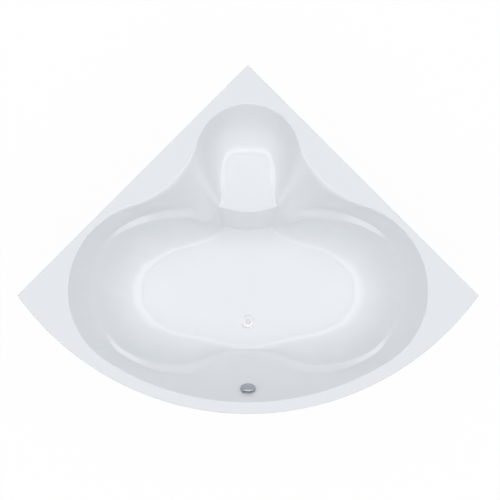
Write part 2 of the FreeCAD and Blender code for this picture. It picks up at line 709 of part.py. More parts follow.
POSTS = [
    ("corner_post", "0", CORNER_POST_Y),
    ("side_post_left", "-" + SIDE_OFFSET, FRONT_RAIL_Y),
    ("side_post_right", SIDE_OFFSET, FRONT_RAIL_Y),
    ("front_post_left", "-sizes.arm_offset", "%s + %s" % (ARM_END_Y, HALF_TUBE)),
    ("front_post_right", "sizes.arm_offset", "%s + %s" % (ARM_END_Y, HALF_TUBE)),
]


def posts():
    """Uprights from the rails to the rim, each with a plastic cap, and one under the seat."""
    caps = []
    for name, x, y in POSTS:
        square_tube(name, "z", (x, y, BOARD_UNDERSIDE), "%s - %s" % (POST_TOP, BOARD_UNDERSIDE))
        spigot = "(%s - 2 * sizes.cap_clearance)" % BORE_WIDTH
        head = box(name + "_cap_head", "sizes.cap_width", "sizes.cap_width", "sizes.cap_height",
                   (x + " - sizes.cap_width / 2", y + " - sizes.cap_width / 2", POST_TOP))
        foot = box(name + "_cap_foot", spigot, spigot, "sizes.cap_spigot",
                   ("%s - %s / 2" % (x, spigot), "%s - %s / 2" % (y, spigot),
                    "%s - sizes.cap_spigot" % POST_TOP))
        caps.append(fuse(name + "_cap", head, foot))
    sub_part(separate("post_caps", *caps), "post_caps")
    square_tube("seat_post", "z", ("0", SEAT_POST_Y, BOARD_UNDERSIDE),
                "%s - %s" % (SEAT_BOARD_UNDERSIDE, BOARD_UNDERSIDE))


# ---------------------------------------------------------------- screw feet
def hexagon(name, flats, height, at):
    prism = doc.addObject("Part::Prism", name)
    prism.Polygon = 6
    return bind(prism, at, Circumradius=flats + " / sqrt(3)", Height=height)


def hexagon_nut(name, x, y, low):
    """Six-sided nut around a foot's rod."""
    prism = hexagon(name + "_prism", "sizes.nut_flats", "sizes.nut_height", (x, y, low))
    bore = rod(name + "_bore", "sizes.rod_radius + sizes.rod_clearance", "3 * sizes.nut_height",
               (x, y, "%s - sizes.nut_height" % low))
    return cut(name, prism, bore)


def feet():
    weld_nuts, lock_nuts = [], []
    for name, x, y in FOOT_PLACES:
        weld_low = "%s - sizes.nut_height" % RAIL_UNDERSIDE
        weld_nuts.append(hexagon_nut("weld_nut_" + name, x, y, weld_low))
        lock_nuts.append(hexagon_nut("lock_nut_" + name, x, y,
                                     "%s - 2 * sizes.nut_height" % RAIL_UNDERSIDE))
        screw = rod("foot_rod_" + name, "sizes.rod_radius",
                    "%s + sizes.rod_above_rail - sizes.rod_seat" % BOARD_UNDERSIDE,
                    (x, y, "sizes.rod_seat"))
        sub_part(screw, "foot_rod_" + name)
        low = rod("foot_base_" + name, "sizes.pad_radius", "sizes.pad_base", (x, y, "0"))
        neck = hexagon("foot_neck_" + name, "sizes.pad_neck_flats", "sizes.pad_height", (x, y, "0"))
        socket = rod("foot_socket_" + name, "sizes.rod_radius + sizes.rod_clearance",
                     "sizes.pad_height", (x, y, "sizes.rod_seat"))
        sub_part(cut("foot_pad_" + name, fuse("foot_body_" + name, low, neck), socket),
                 "foot_pad_" + name)
    sub_part(separate("weld_nuts", *weld_nuts), "weld_nuts")
    sub_part(separate("lock_nuts", *lock_nuts), "lock_nuts")


# ---------------------------------------------------------------- front panel
LOWER_CLIP = RAIL_AXIS
UPPER_CLIP = "(%s - sizes.upper_clip_drop)" % POST_TOP
CLIPS = [
    ("low_left", "-", "sizes.arm_offset", LOWER_CLIP, "sizes.tube_width"),
    ("low_right", "", "sizes.arm_offset", LOWER_CLIP, "sizes.tube_width"),
    ("high_left", "-", "sizes.arm_offset", UPPER_CLIP, "sizes.clip_height"),
    ("high_right", "", "sizes.arm_offset", UPPER_CLIP, "sizes.clip_height"),
    ("side_left", "-", SIDE_OFFSET, LOWER_CLIP, "sizes.tube_width"),
    ("side_right", "", SIDE_OFFSET, LOWER_CLIP, "sizes.tube_width"),
]


def strip_sketch(name, outer_inset, depth, height):
    """Strip between two arcs of the bow, ended by the straight sides."""
    sketch = doc.addObject("Sketcher::SketchObject", name)
    side_inset = size("lip_thickness") + size("panel_gap")
    arcs, ends = [], []
    for inset in (outer_inset, outer_inset + depth):
        away, reach, radius, bow_reach = corner_point(side_inset, inset)
        right, left = plan_point(away, reach), plan_point(-away, reach)
        arcs.append(Part.Arc(right, plan_point(0, bow_reach + radius), left))
        ends.append((right, left))
    (right_out, left_out), (right_in, left_in) = ends
    sketch.addGeometry(arcs + [Part.LineSegment(right_out, right_in),
                               Part.LineSegment(left_out, left_in)], False)
    return bind(sketch, ("0", "0", height))


def panel():
    outer = size("lip_thickness") + size("panel_gap")
    thickness = size("panel_thickness")
    face = extrude("panel_face", strip_sketch("panel_outline", outer, thickness,
                                              "sizes.panel_foot_gap"),
                   "%s - sizes.panel_gap - sizes.panel_foot_gap" % DECK_UNDERSIDE)
    foot = extrude("panel_foot", strip_sketch("panel_foot_outline", outer,
                                              thickness + size("panel_flange"),
                                              "sizes.panel_foot_gap"), "sizes.panel_thickness")
    sub_part(fuse("front_panel", face, foot), "front_panel")
    sub_part(separate("panel_clips", *[clip(*place) for place in CLIPS]), "panel_clips")


def clip(name, side, offset, height, tall):
    """Distance block between an arm or post and the panel, hollow to the panel's bow."""
    on_arm = offset == "sizes.arm_offset"
    start = ARM_END_Y if on_arm else SIDE_ARM_END_Y
    length = "(%s + sizes.clip_width)" % ("sizes.arm_gap" if on_arm else "sizes.side_arm_gap")
    block = box("clip_block_" + name, "sizes.clip_width", length, tall,
                ("%s%s - sizes.clip_width / 2" % (side, offset), "%s - %s" % (start, length),
                 "%s - %s / 2" % (height, tall)))
    bow = rod("clip_bow_" + name, PANEL_INSIDE, "sizes.rim_height", ("0", reach_y(BOW_REACH), "0"))
    inside = doc.addObject("Part::Common", "clip_" + name)
    inside.Base = block
    inside.Tool = bow
    return inside


boards()
cradle()
posts()
feet()
panel()


# ---------------------------------------------------------------- waste in the floor
WASTE_Y = "(%s)" % reach_y(WASTE_REACH)
HOUSING_TOP = "(%s - sizes.gasket_thickness)" % FLOOR_UNDERSIDE
HOUSING_FOOT = "(%s - sizes.housing_height)" % HOUSING_TOP
SPOUT_FOOT = "(%s - sizes.spout_length)" % HOUSING_FOOT
PORT_AXIS = "(%s - sizes.port_drop)" % HOUSING_TOP


def upright(obj, offset):
    """Sets a piece over the waste, this far above the basin floor."""
    return bind(obj, ("0", WASTE_Y, "%s + (%s)" % (FLOOR_TOP, offset)))


def ring(name, outside, bore, height, place, offset):
    """Flat ring; place sets it at the waste or at the overflow."""
    body = place(rod(name + "_disc", outside, height), offset)
    hole = place(rod(name + "_hole", bore, "3 * (%s)" % height), "%s - (%s)" % (offset, height))
    return cut(name, body, hole)


def guided_tube(name, rim, rim_height, radius, bore, length, spindle, place, seat):
    """Flange with a tube behind it, and a hub on a bar across the bore that guides a spindle."""
    disc = place(rod(name + "_rim", rim, rim_height), seat)
    tube = place(rod(name + "_tube", radius, length), "%s - %s" % (seat, length))
    through = place(rod(name + "_through", bore, "3 * " + length),
                    "%s - 2 * %s" % (seat, length))
    hollow = cut(name + "_hollow", fuse(name + "_outside", disc, tube), through)
    hub_foot = "%s - %s" % (seat, length)
    hub = place(rod(name + "_hub", "sizes.guide_radius", "sizes.guide_height"), hub_foot)
    half_bar = "(%s + %s) / 2" % (radius, bore)
    bar = box(name + "_bar_block", "2 * " + half_bar, "sizes.guide_bar", "sizes.guide_height",
              ("-" + half_bar, "-sizes.guide_bar / 2", "0"))
    crossbar = place(separate(name + "_bar", bar), hub_foot)
    guide = place(rod(name + "_guide", spindle + " + sizes.stem_clearance",
                      "3 * sizes.guide_height"), "%s - sizes.guide_height" % hub_foot)
    return cut(name, fuse(name + "_solid", hollow, hub, crossbar), guide)


def waste():
    sub_part(guided_tube("waste_flange", "sizes.strainer_rim_radius",
                         "sizes.strainer_rim_height", "sizes.strainer_radius",
                         "sizes.strainer_bore", "sizes.strainer_length", "sizes.stem_radius",
                         upright, "0"), "waste_flange")
    # housing: a cup with a neck around the flange's tube, a spout below and a side nipple
    outside = rod("housing_outside", "sizes.housing_radius", "sizes.housing_height",
                  ("0", WASTE_Y, HOUSING_FOOT))
    spout = rod("housing_spout", "sizes.spout_radius", "sizes.spout_length + sizes.housing_wall",
                ("0", WASTE_Y, SPOUT_FOOT))
    port = rod("housing_port", "sizes.port_radius", "sizes.housing_radius + sizes.port_length")
    port.Placement = Placement(Vector(), Rotation(Vector(1, 0, 0), 90))
    bind(port, ("0", WASTE_Y, PORT_AXIS))
    inside = rod("housing_inside", "sizes.housing_radius - sizes.housing_wall",
                 "sizes.housing_height - 2 * sizes.housing_wall",
                 ("0", WASTE_Y, HOUSING_FOOT + " + sizes.housing_wall"))
    neck = rod("housing_neck", "sizes.strainer_radius + sizes.pipe_clearance",
               "sizes.housing_height", ("0", WASTE_Y, HOUSING_FOOT + " + sizes.housing_height / 2"))
    spout_bore = rod("housing_spout_bore", "sizes.spout_bore",
                     "sizes.spout_length + 2 * sizes.housing_wall",
                     ("0", WASTE_Y, SPOUT_FOOT + " - sizes.housing_wall / 2"))
    port_bore = rod("housing_port_bore", "sizes.port_bore",
                    "sizes.housing_radius + 2 * sizes.port_length")
    port_bore.Placement = Placement(Vector(), Rotation(Vector(1, 0, 0), 90))
    bind(port_bore, ("0", WASTE_Y, PORT_AXIS))
    shell = cut("housing_shell", fuse("housing_body", outside, spout, port), inside)
    sub_part(cut("waste_housing", shell, neck, spout_bore, port_bore), "waste_housing")


def plug():
    seat = "sizes.strainer_rim_height + sizes.plug_gap"
    cap = upright(rod("plug_disc", "sizes.plug_radius", "sizes.plug_height"), seat)
    crown = doc.addObject("Part::Chamfer", "plug_crown")
    crown.Base = cap
    doc.recompute()
    top = [number for number, edge in enumerate(cap.Shape.Edges, start=1)
           if edge.BoundBox.ZMin > cap.Shape.BoundBox.ZMax - 1e-6]
    crown.Edges = [(number, size("plug_height") / 2, size("plug_radius") / 4) for number in top]
    sub_part(crown, "plug_cover")
    sub_part(ring("plug_seal", "sizes.plug_seal_radius", "sizes.stem_radius",
                  "sizes.plug_seal_height", upright, seat + " - sizes.plug_seal_height"),
             "plug_seal")
    sub_part(upright(rod("plug_stem", "sizes.stem_radius", "sizes.stem_length"),
                     seat + " - sizes.stem_length"), "plug_stem")


# ---------------------------------------------------------------- bottle trap
TRAP_TOP = "(%s - sizes.trap_gap)" % HOUSING_FOOT
TRAP_FOOT = "(%s - sizes.trap_height)" % TRAP_TOP
OUTLET_AXIS = "(%s - sizes.outlet_drop)" % TRAP_TOP
OUTLET_TURN = math.radians(size("outlet_angle"))


def on_outlet(run):
    """Place on the outlet's axis, this far from the axis of the trap."""
    return ("%s * sin(sizes.outlet_angle * 1deg)" % run,
            "%s + %s * cos(sizes.outlet_angle * 1deg)" % (WASTE_Y, run), OUTLET_AXIS)


def level_rod(name, radius, length, start, turn=0.0):
    """Cylinder that runs level towards the back corner, or turned from there to the right."""
    obj = rod(name, radius, length)
    axis = Vector(-math.cos(turn), math.sin(turn), 0)
    obj.Placement = Placement(Vector(), Rotation(axis, 90))
    return bind(obj, start)


def pipe(name, outside, inside, make):
    """Cylinder with a bore; make places each of the two."""
    return cut(name, make(name + "_outside", outside), make(name + "_bore", inside))


def trap():
    """Bottle trap around the waste's pipe, with a screwed cup, a ring nut and its outlet."""
    bottle = rod("trap_outside", "sizes.trap_radius", "sizes.trap_height",
                 ("0", WASTE_Y, TRAP_FOOT))
    nipple = level_rod("trap_nipple", "sizes.outlet_nipple_radius", "sizes.outlet_nipple",
                       on_outlet("0"), OUTLET_TURN)
    inside = rod("trap_inside", "sizes.trap_radius - sizes.trap_wall", "sizes.trap_height",
                 ("0", WASTE_Y, TRAP_FOOT + " - sizes.trap_wall"))
    mouth = rod("trap_mouth", "sizes.spout_radius + sizes.pipe_clearance", "sizes.trap_height",
                ("0", WASTE_Y, TRAP_FOOT + " + sizes.trap_wall"))
    bore = level_rod("trap_bore", "sizes.spout_bore", "2 * sizes.outlet_nipple",
                     on_outlet("0"), OUTLET_TURN)
    sub_part(cut("trap_body", fuse("trap_solid", bottle, nipple), inside, mouth, bore),
             "trap_body")
    cup = rod("cup_outside", "sizes.trap_radius + sizes.cup_clearance + sizes.trap_wall",
              "sizes.cup_height", ("0", WASTE_Y, TRAP_FOOT + " - sizes.trap_wall"))
    pocket = rod("cup_pocket", "sizes.trap_radius + sizes.cup_clearance", "sizes.cup_height",
                 ("0", WASTE_Y, TRAP_FOOT))
    sub_part(cut("trap_cup", cup, pocket), "trap_cup")
    sub_part(pipe("trap_union", "sizes.trap_union_radius",
                  "sizes.spout_radius + sizes.pipe_clearance",
                  lambda name, radius: rod(name, radius, "sizes.trap_gap",
                                           ("0", WASTE_Y, TRAP_TOP))), "trap_union")
    sub_part(pipe("outlet_tube", "sizes.spout_radius", "sizes.spout_bore",
                  lambda name, radius: level_rod(name, radius, "sizes.outlet_length",
                                                 on_outlet("sizes.outlet_nipple"),
                                                 OUTLET_TURN)), "outlet_tube")
    union_start = "(sizes.outlet_nipple - sizes.union_gap - sizes.union_height)"
    sub_part(pipe("outlet_union", "sizes.union_radius",
                  "sizes.spout_radius + sizes.pipe_clearance",
                  lambda name, radius: level_rod(name, radius, "sizes.union_height",
                                                 on_outlet(union_start), OUTLET_TURN)),
             "outlet_union")


# ---------------------------------------------------------------- overflow in the front wall
SLOPE = "atan(sizes.seat_depth / sizes.front_batter)"
WALL_ALONG = "(sizes.wall_thickness * (sin(%s) + cos(%s)))" % (SLOPE, SLOPE)
CUP_BEHIND = "(%s + sizes.overflow_slack + sizes.gasket_thickness)" % WALL_ALONG
WALL_REACH = ("(sizes.front_reach - sizes.front_deck"
              " - sizes.front_batter * sizes.overflow_drop / sizes.seat_depth)")
CUP_BACK = "(%s + sizes.overflow_depth)" % CUP_BEHIND
CUP_LOW_Y = "(%s - %s * sin(%s) + sizes.overflow_radius * cos(%s))" % (reach_y(WALL_REACH), CUP_BACK,
                                                                  SLOPE, SLOPE)
CUP_LOW_Z = ("(sizes.rim_height - sizes.overflow_drop - %s * cos(%s) - sizes.overflow_radius * sin(%s))"
             % (CUP_BACK, SLOPE, SLOPE))
NIPPLE_FOOT = "(%s - sizes.port_length)" % CUP_LOW_Z


def overflow():
    sub_part(guided_tube("overflow_collar", "sizes.collar_rim_radius",
                         "sizes.collar_rim_height", "sizes.collar_radius", "sizes.collar_bore",
                         "(%s + sizes.overflow_depth / 2)" % CUP_BEHIND, "sizes.spindle_radius",
                         tilted, "sizes.collar_seat"), "overflow_collar")
    waste_gasket = ring("waste_gasket", "sizes.gasket_radius", "sizes.waste_hole_radius",
                        "sizes.gasket_thickness", upright,
                        "-sizes.wall_thickness - sizes.gasket_thickness")
    overflow_gasket = ring("overflow_gasket", "sizes.overflow_radius",
                           "sizes.overflow_hole_radius", "sizes.gasket_thickness", tilted,
                           "-" + CUP_BEHIND)
    sub_part(separate("gaskets", waste_gasket, overflow_gasket), "gaskets")
    body = tilted(rod("overflow_outside", "sizes.overflow_radius", "sizes.overflow_depth"), "-" + CUP_BACK)
    nipple = rod("overflow_nipple", "sizes.port_radius", "sizes.port_length + sizes.overflow_radius / 2",
                 ("0", CUP_LOW_Y, NIPPLE_FOOT))
    inside = tilted(rod("overflow_inside", "sizes.overflow_radius - sizes.housing_wall",
                        "sizes.overflow_depth - 2 * sizes.housing_wall"),
                    "sizes.housing_wall - " + CUP_BACK)
    neck = tilted(rod("overflow_neck", "sizes.collar_radius + sizes.pipe_clearance",
                      "sizes.overflow_depth"), "sizes.overflow_depth / 2 - " + CUP_BACK)
    bore = rod("overflow_bore", "sizes.port_bore", "sizes.port_length + sizes.overflow_radius",
               ("0", CUP_LOW_Y, NIPPLE_FOOT + " - sizes.overflow_radius / 4"))
    sub_part(cut("overflow_housing", fuse("overflow_solid", body, nipple), inside, neck, bore),
             "overflow_housing")


def knob():
    cap = tilted(rod("knob_cap", "sizes.knob_radius", "sizes.knob_height"), "sizes.knob_gap")
    hollow = tilted(rod("knob_hollow", "sizes.knob_radius - sizes.knob_wall",
                        "sizes.knob_height"), "sizes.knob_gap - sizes.knob_wall")
    mouth = tilted(separate("knob_mouth_place",
                            box("knob_mouth", "sizes.knob_radius", "sizes.knob_radius * 2",
                                "sizes.knob_height / 2",
                                ("-sizes.knob_radius / 2", "-sizes.knob_radius * 2", "0"))),
                   "sizes.knob_gap - sizes.knob_wall")
    sub_part(cut("overflow_knob", cap, hollow, mouth), "overflow_knob")
    length = "(%s + sizes.overflow_depth / 2 + sizes.knob_height)" % CUP_BEHIND
    top = "sizes.knob_gap + sizes.knob_height - sizes.knob_wall"
    sub_part(tilted(rod("knob_spindle", "sizes.spindle_radius", length),
                    "%s - %s" % (top, length)), "knob_spindle")


def hose():
    """Overflow hose: down from the overflow, one wide bend, and level to the waste."""
    bend_top = "(%s + sizes.hose_bend)" % PORT_AXIS
    bend_end = "(%s + sizes.hose_bend)" % CUP_LOW_Y
    drop = "%s - sizes.hose_stop - %s" % (CUP_LOW_Z, bend_top)
    run = "%s - sizes.housing_radius - sizes.hose_stop - %s" % (WASTE_Y, bend_end)

    def tube(name, radius):
        down = rod(name + "_down", radius, drop, ("0", CUP_LOW_Y, bend_top))
        level = level_rod(name + "_level", radius, run, ("0", bend_end, PORT_AXIS))
        bend = doc.addObject("Part::Torus", name + "_bend")
        # the bend's own X and Y point towards the front and down
        bend.Placement = Placement(Vector(), Rotation(Vector(0, -1, 0), Vector(0, 0, -1),
                                                      Vector(1, 0, 0)))
        bind(bend, ("0", bend_end, bend_top), Radius1="sizes.hose_bend", Radius2=radius,
             Angle3=90)
        return [down, level, bend]

    bore = "sizes.port_radius + sizes.hose_fit"
    outside = tube("hose_outside", bore + " + sizes.hose_wall")
    inside = tube("hose_inside", bore)
    sub_part(cut("overflow_hose", fuse("hose_solid", *outside), fuse("hose_bore", *inside)),
             "overflow_hose")
    return outside[0], outside[1]


waste()
plug()
trap()
overflow()
knob()
hose_drop, hose_run = hose()


# ---------------------------------------------------------------- checks and files
doc.recompute()
failed = [obj.Name for obj in doc.Objects if "Invalid" in obj.State or "Error" in obj.State]
if failed:
    raise RuntimeError("these objects failed: %s" % failed)
for obj in parts:
    if obj.Shape.isNull() or not obj.Shape.isValid() or not obj.Shape.Solids:
        raise RuntimeError("%s has no valid solid" % obj.Label)
hose_length = hose_drop.Height.Value + hose_run.Height.Value + size("hose_bend") * math.pi / 2
print("length of the overflow hose, mm: %.0f" % hose_length)

os.makedirs("parts", exist_ok=True)
for obj in parts:
    obj.Shape.exportStep("parts/%s.step" % obj.Label)
print("%d nodes written" % len(parts))
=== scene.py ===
import json
import math

import bmesh
import bpy
import numpy as np
from mathutils import Matrix, Vector


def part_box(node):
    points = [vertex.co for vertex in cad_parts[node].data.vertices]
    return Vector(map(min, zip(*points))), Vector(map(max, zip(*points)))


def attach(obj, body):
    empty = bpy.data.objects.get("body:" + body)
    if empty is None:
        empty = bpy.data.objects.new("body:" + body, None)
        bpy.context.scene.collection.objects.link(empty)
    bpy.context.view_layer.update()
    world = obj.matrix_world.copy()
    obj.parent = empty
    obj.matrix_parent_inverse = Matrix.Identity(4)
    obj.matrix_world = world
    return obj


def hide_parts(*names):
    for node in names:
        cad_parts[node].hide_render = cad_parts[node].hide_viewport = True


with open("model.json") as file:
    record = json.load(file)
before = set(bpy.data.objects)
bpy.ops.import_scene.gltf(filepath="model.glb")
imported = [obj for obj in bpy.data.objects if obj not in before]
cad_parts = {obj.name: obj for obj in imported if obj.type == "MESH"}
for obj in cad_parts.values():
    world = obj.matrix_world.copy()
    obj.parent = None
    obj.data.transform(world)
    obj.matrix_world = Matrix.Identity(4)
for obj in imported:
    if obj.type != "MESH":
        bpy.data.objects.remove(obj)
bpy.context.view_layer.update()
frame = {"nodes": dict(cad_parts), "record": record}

# Corner bathtub: thermoformed acrylic shell with a corner seat, arm ledges and a bowed front panel,
# on a welded steel cradle with screw feet; pop-up waste worked by a chromed overflow knob.
# Lengths of the bath are written in millimetres, the scene is in metres.
# "Reach" is a distance from the back corner along the centre line, "across" one from that line.
MM = 0.001

# ---- plan of the bath
SIDE, REACH = 1500.0, 1605.0
HALF = SIDE / math.sqrt(2)
RISE = REACH - HALF
BOW_RADIUS = (HALF**2 + RISE**2) / (2 * RISE)
BOW_REACH = REACH - BOW_RADIUS
# heights above the floor of the room: rim, seat and floor of the basin
RIM, SEAT, FLOOR = 620.0, 435.0, 190.0
# wall thickness, and height of the turned-down lip
WALL, LIP = 6.0, 42.0


# ---- opening of the shell
SEAT_CENTRE, SEAT_RADIUS = (0.0, 423.0), 244.0
END_POINT = (HALF - 232.0, HALF - 20.0)
END_RADIUS, SHOULDER_RADIUS = 402.0, 425.0
FRONT_APEX = REACH - 53.0
FRONT_TURN = math.radians(57.0)
STATIONS = {"seat": 6, "shoulder": 6, "end": 6, "front_bend": 7, "front_bow": 7}
LAST_STATION = sum(STATIONS.values())


def opening_arcs():
    """Centre, radius, first and last heading of each arc, from the seat round to the front."""
    end_centre = (END_POINT[0] - END_RADIUS, END_POINT[1])
    across = (end_centre[0] - SEAT_CENTRE[0], end_centre[1] - SEAT_CENTRE[1])
    apart = math.hypot(*across)
    to_seat, to_end = SEAT_RADIUS + SHOULDER_RADIUS, END_RADIUS + SHOULDER_RADIUS
    along = (to_seat**2 - to_end**2 + apart**2) / (2 * apart)
    aside = math.sqrt(to_seat**2 - along**2)
    ux, uy = across[0] / apart, across[1] / apart
    bend = (SEAT_CENTRE[0] + along * ux + aside * uy, SEAT_CENTRE[1] + along * uy - aside * ux)
    end_turn = math.atan2(bend[0] - end_centre[0], end_centre[1] - bend[1])
    seat_turn = math.atan2(bend[0] - SEAT_CENTRE[0], SEAT_CENTRE[1] - bend[1])
    # a tight and a wide arc that make one quarter turn from the widest point to the front
    width, depth = END_POINT[0], FRONT_APEX - END_POINT[1]
    sine, cosine = math.sin(FRONT_TURN), math.cos(FRONT_TURN)
    share = 1 - sine - cosine
    tight = (width * (1 - sine) - depth * cosine) / share
    wide = ((1 - cosine) * depth - width * sine) / share
    quarter = math.pi / 2
    return [
        (SEAT_CENTRE, SEAT_RADIUS, 0.0, seat_turn),
        (bend, -SHOULDER_RADIUS, seat_turn, end_turn),
        (end_centre, END_RADIUS, end_turn, quarter),
        ((END_POINT[0] - tight, END_POINT[1]), tight, quarter, quarter + FRONT_TURN),
        ((0.0, FRONT_APEX - wide), wide, quarter + FRONT_TURN, math.pi),
    ]


def opening_at(station):
    """Plan point of the opening's edge at a station, 0 to LAST_STATION."""
    first = 0
    for count, (centre, radius, start, stop) in zip(STATIONS.values(), opening_arcs()):
        if station <= first + count + 1e-9:
            heading = start + (stop - start) * (station - first) / count
            return centre[0] + radius * math.sin(heading), centre[1] - radius * math.cos(heading)
        first += count


# Sections through the wall, one per station from the seat's back round one side to the front:
# ledge's outer edge (across, reach, height), its inner edge (across, reach, height), floor's
# edge (across, reach). Across the seat the "ledge" is the seat itself.
SECTIONS = [
    ((0, 402, 435), (0, 676, 435), (0, 758)),
    ((32, 402, 435), (30, 675, 435), (28, 756.5)),
    ((62, 405, 435), (60, 670, 435), (55, 753)),
    ((91, 420, 435), (88, 663, 435), (80, 748)),
    ((108, 450, 435), (108, 658, 435), (97, 744)),
    ((117, 528, 435), (124, 654, 435), (107, 743)),
    ((126, 612, 436), (138, 650, 436), (114, 746)),
    ((150, 640, 447), (155, 654, 438), (122, 754)),
    ((166, 698, 346), (172, 729, 290), (132, 766)),
    ((222, 674, 396), (230, 710, 366), (168, 793)),
    ((290, 660, 420), (294, 700, 394), (216, 816)),
    ((375, 664, 432), (375, 706, 409), (285, 835)),
    ((455, 682, 438), (450, 718, 423), (345, 853)),
    ((536, 714, 438), (526, 742, 428), (395, 880)),
    ((606, 757, 437), (595, 777, 430), (435, 914)),
    ((660, 812, 436), (648, 820, 420), (466, 945)),
    ((703, 900, 445), (688, 905, 417), (485, 975)),
    ((729, 970, 446), (713, 973, 417), (493, 1010)),
    ((737, 1042, 447), (720, 1042, 416), (495, 1046)),
    ((734, 1087, 447), (717, 1085, 416), (494, 1076)),
    ((724, 1132, 447), (706, 1128, 416), (488, 1102)),
    ((708, 1176, 446), (690, 1170, 416), (478, 1123)),
    ((684, 1220, 444), (667, 1211, 419), (463, 1143)),
    ((652, 1262, 438), (640, 1249, 427), (443, 1165)),
    ((615, 1311, 438), (603, 1291, 430), (418, 1190)),
    ((567, 1346, 439), (558, 1323, 430), (390, 1209)),
    ((492, 1385, 438), (487, 1358, 427), (345, 1229)),
    ((410, 1411, 431), (408, 1378, 411), (300, 1243)),
    ((322, 1421, 412), (322, 1386, 388), (250, 1251)),
    ((240, 1411, 376), (241, 1377, 350), (198, 1263)),
    ((165, 1378, 318), (166, 1348, 292), (140, 1283)),
    ((88, 1350, 250), (88, 1328, 232), (75, 1302)),
    ((0, 1338, 222), (0, 1320, 206), (0, 1307)),
]
# how round each edge is, in mm on either side of it: (station, rim, ledge outside, ledge inside,
# floor), and how hollow the walls are above and below the ledge, from 0, straight, to 1
EDGES = [
    (0, 7, 15, 5, 7, 0.30, 0.10),
    (2, 7, 15, 5, 7, 0.32, 0.10),
    (4, 7, 15, 5, 7, 0.42, 0.10),
    (5, 7, 16, 5, 8, 0.46, 0.10),
    (6, 8, 15, 6, 9, 0.20, 0.16),
    (7, 16, 14, 9, 12, 0.0, 0.34),
    (8, 28, 34, 34, 16, 0.0, 0.50),
    (9, 32, 26, 26, 14, 0.0, 0.54),
    (11, 30, 14, 14, 12, 0.0, 0.50),
    (12, 24, 7, 7, 12, 0.0, 0.48),
    (13, 18, 4, 4, 12, 0.0, 0.50),
    (14, 12, 4, 4, 12, 0.0, 0.50),
    (15, 9, 12, 12, 12, 0.0, 0.48),
    (16, 7, 30, 30, 12, 0.0, 0.46),
    (18, 7, 30, 30, 12, 0.0, 0.45),
    (21, 7, 30, 30, 12, 0.0, 0.47),
    (22, 7, 16, 16, 12, 0.0, 0.50),
    (23, 7, 7, 7, 12, 0.0, 0.54),
    (24, 7, 4, 4, 12, 0.0, 0.55),
    (25, 7, 4, 4, 12, 0.0, 0.55),
    (26, 7, 7, 7, 12, 0.0, 0.54),
    (28, 7, 16, 16, 13, 0.0, 0.50),
    (30, 7, 30, 30, 18, 0.0, 0.38),
    (32, 7, 60, 40, 40, 0.0, 0.20),
]
# deck beside the rim's roll, in widths of the roll
ROLL_ROOM = 1.3
# largest share of a stretch that the rounding at one of its ends may take up
ROUNDING_LIMIT = 0.48


def through(values, places):
    """Smooth cubic curve that passes very near the values, at places counted in stations."""
    values = np.asarray(values, float)
    flip = np.ones(values.shape[1])
    flip[0] = -1  # the curve goes on mirrored past either end
    wanted = np.concatenate([values[1:2] * flip, values, values[-2:-1] * flip])
    held = wanted.copy()
    for _ in range(3):
        held[1:-1] += wanted[1:-1] - (held[:-2] + 4 * held[1:-1] + held[2:]) / 6
        held[0], held[-1] = held[2] * flip, held[-3] * flip
    held = np.concatenate([held, held[-1:]])
    whole = np.minimum(np.floor(places).astype(int), len(values) - 1)
    t = (places - whole)[:, None]
    weights = [(1 - t)**3, 3 * t**3 - 6 * t**2 + 4, -3 * t**3 + 3 * t**2 + 3 * t + 1, t**3]
    return sum(w * held[whole + k] for k, w in enumerate(weights)) / 6


def outward_normals(points):
    """Unit normals of a closed plan outline that runs clockwise seen from above."""
    along = np.roll(points, -1, axis=0) - np.roll(points, 1, axis=0)
    normal = np.stack([-along[:, 1], along[:, 0]], axis=-1)
    return normal / np.linalg.norm(normal, axis=1, keepdims=True)


def mirrored(half, signed=True):
    """Whole loop from its right half, which runs from the seat's back to the front's middle."""
    other = half[-2:0:-1].copy()
    if signed:
        other[:, 0] = -other[:, 0]
    return np.concatenate([half, other])


# columns of the skin on each side, points that their spacing is measured over, and passes that
# even out the table of edges
HALF_SAMPLES, DENSE_SAMPLES, EDGE_PASSES = 248, 4001, 12


def shell_outlines():
    """Sampled outlines of the whole loop and the edge softness along it."""
    dense = np.linspace(0, LAST_STATION, DENSE_SAMPLES)
    rim = np.array([opening_at(s) for s in dense])
    well = through([row[1][:2] for row in SECTIONS], dense)
    steps = sum(np.linalg.norm(np.diff(curve, axis=0), axis=1) for curve in (rim, well))
    length = np.concatenate([[0], np.cumsum(steps)])
    places = np.interp(np.linspace(0, length[-1], HALF_SAMPLES + 1), length, dense)
    places[0], places[-1] = 0.0, LAST_STATION
    edges = np.asarray(EDGES, float)
    soft = np.stack([np.interp(places, edges[:, 0], edges[:, k]) for k in range(1, 7)], axis=-1)
    for _ in range(EDGE_PASSES):
        soft[1:-1] = (soft[:-2] + 2 * soft[1:-1] + soft[2:]) / 4
    curves = {"rim": np.array([opening_at(s) for s in places])}
    for count, name in enumerate(("outer", "inner", "floor")):
        curves[name] = through([row[count] for row in SECTIONS], places)
    loops = {}
    for name, curve in curves.items():
        curve[0, 0] = curve[-1, 0] = 0.0
        loops[name] = mirrored(curve)
        loops[name][:, 1] = REACH / 2 - loops[name][:, 1]
    return loops, mirrored(soft, signed=False)


def bezier(first, corner, last, t):
    return (1 - t)**2 * first + 2 * t * (1 - t) * corner + t**2 * last


# a hollow wall bends late, the more so the higher this is
HOLLOW_POWER = 5.0


def run_share(height_share, hollow):
    """Run of a wall at a share of its height: even if straight, late if it is hollow."""
    return height_share * (1 - hollow + hollow * height_share**(HOLLOW_POWER - 1))


def at_height(plan, height):
    return np.concatenate([plan[:, :2], np.full((len(plan), 1), height)], axis=1)


# fall of the floor from either end to the centre line
FALL, FALL_RUN = 7.0, 500.0


def dish(points):
    """Slight fall of the floor towards the waste."""
    return FALL * np.clip(np.abs(points[:, 0]) / FALL_RUN, 0, 1)**2


